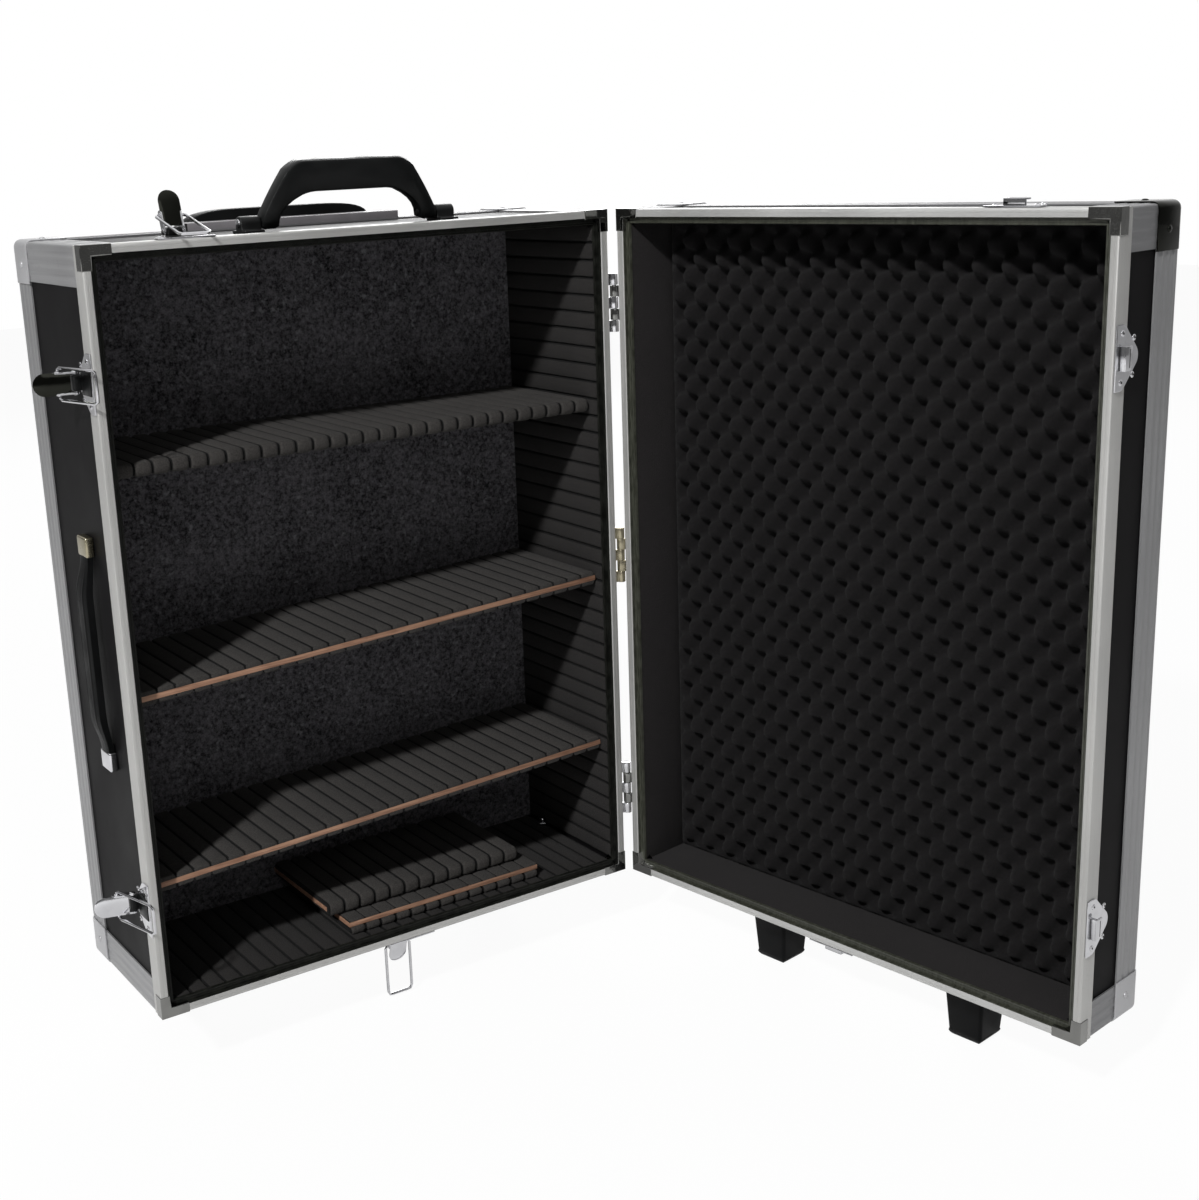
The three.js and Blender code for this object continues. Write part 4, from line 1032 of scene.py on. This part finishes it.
# The top and high side levers take the near-black chrome as a painted dark reflection; the low side and
# bottom ones are bright.
lever_painted_dark, light_lever = latch_handle(chrome_painted_dark), latch_handle(bright)
PIVOT, LEVER_OPEN = (0, 0.027, 0.005), math.radians(72)
for word, spot, angle, lever in (("top", (82, 0, TALL), 0, lever_painted_dark),
                                 ("side_high", (0, 0, 511), -90, lever_painted_dark),
                                 ("side_low", (0, 0, 94), -90, light_lever),
                                 ("bottom", (HALF_WIDE, 0, 0), 180, light_lever)):
    there = Matrix.Translation(at(*spot)) @ Matrix.Rotation(math.radians(angle), 4, "Y")
    standing = there @ Matrix.Translation(PIVOT) @ Matrix.Rotation(LEVER_OPEN, 4, "X")
    seat(copy_of(plate, "latch_plate_" + word, there), "case_body", "chrome", "latch_base_" + word)
    seat(copy_of(lever, "latch_handle_" + word, standing), "latch_lever_" + word, "dark_chrome",
         "latch_lever_" + word)
    seat(copy_of(hook, "latch_hook_" + word, swing @ there), "lid", "chrome", "latch_keeper_" + word)
    rounded_copy("latch_bail_" + word, "latch_wire_" + word, "latch_bail_" + word, "chrome", bright, 0.05)
drop(plate, hook, lever_painted_dark, light_lever, hollow_rivet)


# Carry handle: an arched grip of black moulded plastic whose legs fold on the pins of two low round
# brackets. A polished pin head closes each bracket.
rounded_copy("carry_handle", "carry_grip", "carry_handle", "black_plastic", plastic, 1.6, 4, 40)
pin_head = clothe(stud(3.6, 1.2), bright)
GRIP_X, GRIP_Y, PINS_APART, PIN_UP = 236, 40, 191.6, 6.5
for word, side in (("free", -1), ("hinge", 1)):
    rounded_copy("handle_bracket_" + word, "grip_bracket_" + word, "case_body", "black_plastic", plastic,
                 0.9, 3)
    there = facing((GRIP_X + PINS_APART / 2 * side, GRIP_Y, TALL + PIN_UP), (side, 0, 0))
    seat(copy_of(pin_head, "grip_pin_" + word, there), "case_body", "black_plastic")
drop(pin_head)


# Strap handle: a black pad of soft plastic, waisted at its ends and bowed a little off the side wall,
# held by two metal end caps. Two moulded lines run along it.
bpy.ops.mesh.primitive_cube_add(size=2)
strap = bpy.context.object
edit(strap)
bpy.ops.mesh.subdivide(number_cuts=31)
bpy.ops.object.mode_set(mode="OBJECT")
STRAP_Y, STRAP_Z, STRAP_LONG, waist = 55, 294.5, 161, 0.42
for vertex in strap.data.vertices:
    u, v, w = vertex.co.x, vertex.co.y, vertex.co.z
    reach = min(1.0, (1 - abs(w)) / waist)
    swell = reach * reach * (3 - 2 * reach)
    round_off = math.sqrt(max(0.0, 1 - 0.72 * v * v))
    ridge = 0.5 * math.exp(-((abs(v) - 0.55) / 0.09) ** 2)
    outer_face = -3.4 - 4.6 * swell - (2.0 + 1.9 * swell) * round_off - ridge * swell
    inner_face = -0.2 - 4.4 * swell
    half_broad = 8.4 + 3.6 * swell
    face = outer_face if u < 0 else inner_face
    vertex.co = at(face, STRAP_Y + v * half_broad, STRAP_Z + w * STRAP_LONG / 2)
strap.name = "strap_handle"
edit(strap)
bpy.ops.mesh.normals_make_consistent(inside=False)
smoothed(strap, 60)
clothe(strap, rubbery)
seat(strap, "case_body", "black_plastic", "strap_grip")
rounded_copy("strap_cap_high", "strap_end_high", "case_body", "brassy_metal", brassy, 1.6, 4)
rounded_copy("strap_cap_low", "strap_end_low", "case_body", "chrome", bright, 1.6, 4)


# Trolley: a moulded head and sleeves on the back, and an arched grip on two tubes that draw out. Four
# slotted screws hold the head.
glossy_black = black_moulding("glossy black moulding", (0.002, 0.002, 0.0022), (0.005, 0.005, 0.0053),
                              0.16, 0.00005, 0.5)
housing = rounded_copy("trolley_housing", "trolley_head", "case_body", "black_plastic", glossy_black, 0.8)
# Painted reflection: the head's faces above the case's top that face forward or up are grey, standing for
# the white room mirrored in the glossy black.
grey_painted_reflection = black_moulding("grey painted reflection on black moulding", (0.16, 0.152, 0.16), (0.21, 0.2, 0.21), 0.35, 0.0001, 0.3)
housing.data.materials.append(grey_painted_reflection)
for face in housing.data.polygons:
    above = face.center.z > at(0, 0, TALL + 2).z
    face.material_index = int(above and (face.normal.y < -0.5 or face.normal.z > 0.5))
rounded_copy("trolley_handle", "trolley_grip", "trolley_handle", "black_plastic", rubbery, 1.0)
# The black bar across each screw head is painted shade in its slot.
screw = joined_as("screw", [clothe(stud(2.8, 1.0), chrome_painted_dim), block(-2.2, 2.2, -0.25, 0.25, 0.6, 1.02, seal)])
HEAD_FACE = 177
for word, x, z in (("free_high", 146, 590), ("hinge_high", 318, 590), ("free_low", 140, 72),
                   ("hinge_low", 324, 72)):
    fixing = copy_of(screw, "trolley_screw_" + word, facing((x, HEAD_FACE, z), (0, 1, 0)))
    seat(fixing, "case_body", "black_plastic")
drop(screw)


# Wheels and their housings: black plastic forks under the rear edge, rubber tyres on ribbed hubs.
def tyre_rubber():
    """Worn black rubber with some dust."""
    material, shader, place = new_finish("tyre rubber")
    grain = place.noise(1300, 3)
    dust = place.noise(90, 4).ramp(0.45, 0.7)
    put(shader, Base_Color=dust.blend((0.011, 0.011, 0.011), (0.035, 0.034, 0.032)),
        Roughness=0.78 + dust * 0.15, Specular_IOR_Level=0.25, Normal=dents(grain, 0.0002))
    return material


tread = tyre_rubber()
AXLE_Y, AXLE_Z = 133, -39
bpy.ops.mesh.primitive_cylinder_add(vertices=64, radius=0.029, depth=0.024, rotation=(0, math.pi / 2, 0))
tyre = settle(bpy.context.object)
choose(tyre, lambda middle, normal: abs(normal.x) > 0.9)
bpy.ops.mesh.inset(thickness=0.0035, depth=0.0012)
bpy.ops.mesh.inset(thickness=0.0045)
bpy.ops.mesh.inset(thickness=0.0008, depth=-0.0045)
soft_edges(smoothed(tyre, 30), 0.5, 2, 40)
clothe(tyre, tread)
hub = [rod(20.4, (-8, 0, 0), (8, 0, 0), plastic, 0.4, 48),
       rod(7.5, (-11.6, 0, 0), (11.6, 0, 0), plastic, 0.6, 32)]
for spoke in range(6):
    rib = block(-10.4, 10.4, 6, 20, -1.4, 1.4, plastic, 0.4)
    hub.append(moved(rib, Matrix.Rotation(spoke * math.pi / 3, 4, "X")))
wheel = joined_as("wheel", [tyre, *hub])
for word, x in (("free", 70), ("hinge", WIDE - 70)):
    rounded_copy("wheel_housing_" + word, "wheel_fork_" + word, "case_body", "black_plastic", plastic,
                 1.2, 3)
    rolling = copy_of(wheel, "tyre_" + word, Matrix.Translation(at(x, AXLE_Y, AXLE_Z)))
    seat(rolling, "wheel_" + word, "wheel_rubber", "wheel_" + word)
drop(wheel)


# Lid feet: two tapered blocks of black plastic with a rounded sole, screwed under the lid's wall.
foot = brick((0, 0, -0.03385), (0.04, 0.04, 0.0677))
choose(foot, lambda middle, normal: normal.z < -0.5)
bpy.ops.transform.resize(value=(0.75, 0.75, 1))
choose_edges(foot, lambda a, b: max(a.z, b.z) < -0.06)
bpy.ops.mesh.bevel(offset=0.0075, segments=6)
choose_edges(foot, lambda a, b: abs(a.z - b.z) > 0.04)
bpy.ops.mesh.bevel(offset=0.003, segments=3)
choose(foot, lambda middle, normal: normal.z < -0.95)
bpy.ops.mesh.inset(thickness=0.002, depth=-0.0006)
smoothed(foot, 50)
clothe(foot, rubbery)
FEET_APART, FOOT_Y, FOOT_Z = 206, 62, -0.3
for word, side in (("free", -1), ("hinge", 1)):
    there = shell_open @ Matrix.Translation(at(HALF_WIDE - side * FEET_APART / 2, FOOT_Y, FOOT_Z))
    seat(copy_of(foot, "lid_stand_" + word, there), "lid", "black_plastic", "lid_foot_" + word)
drop(foot)
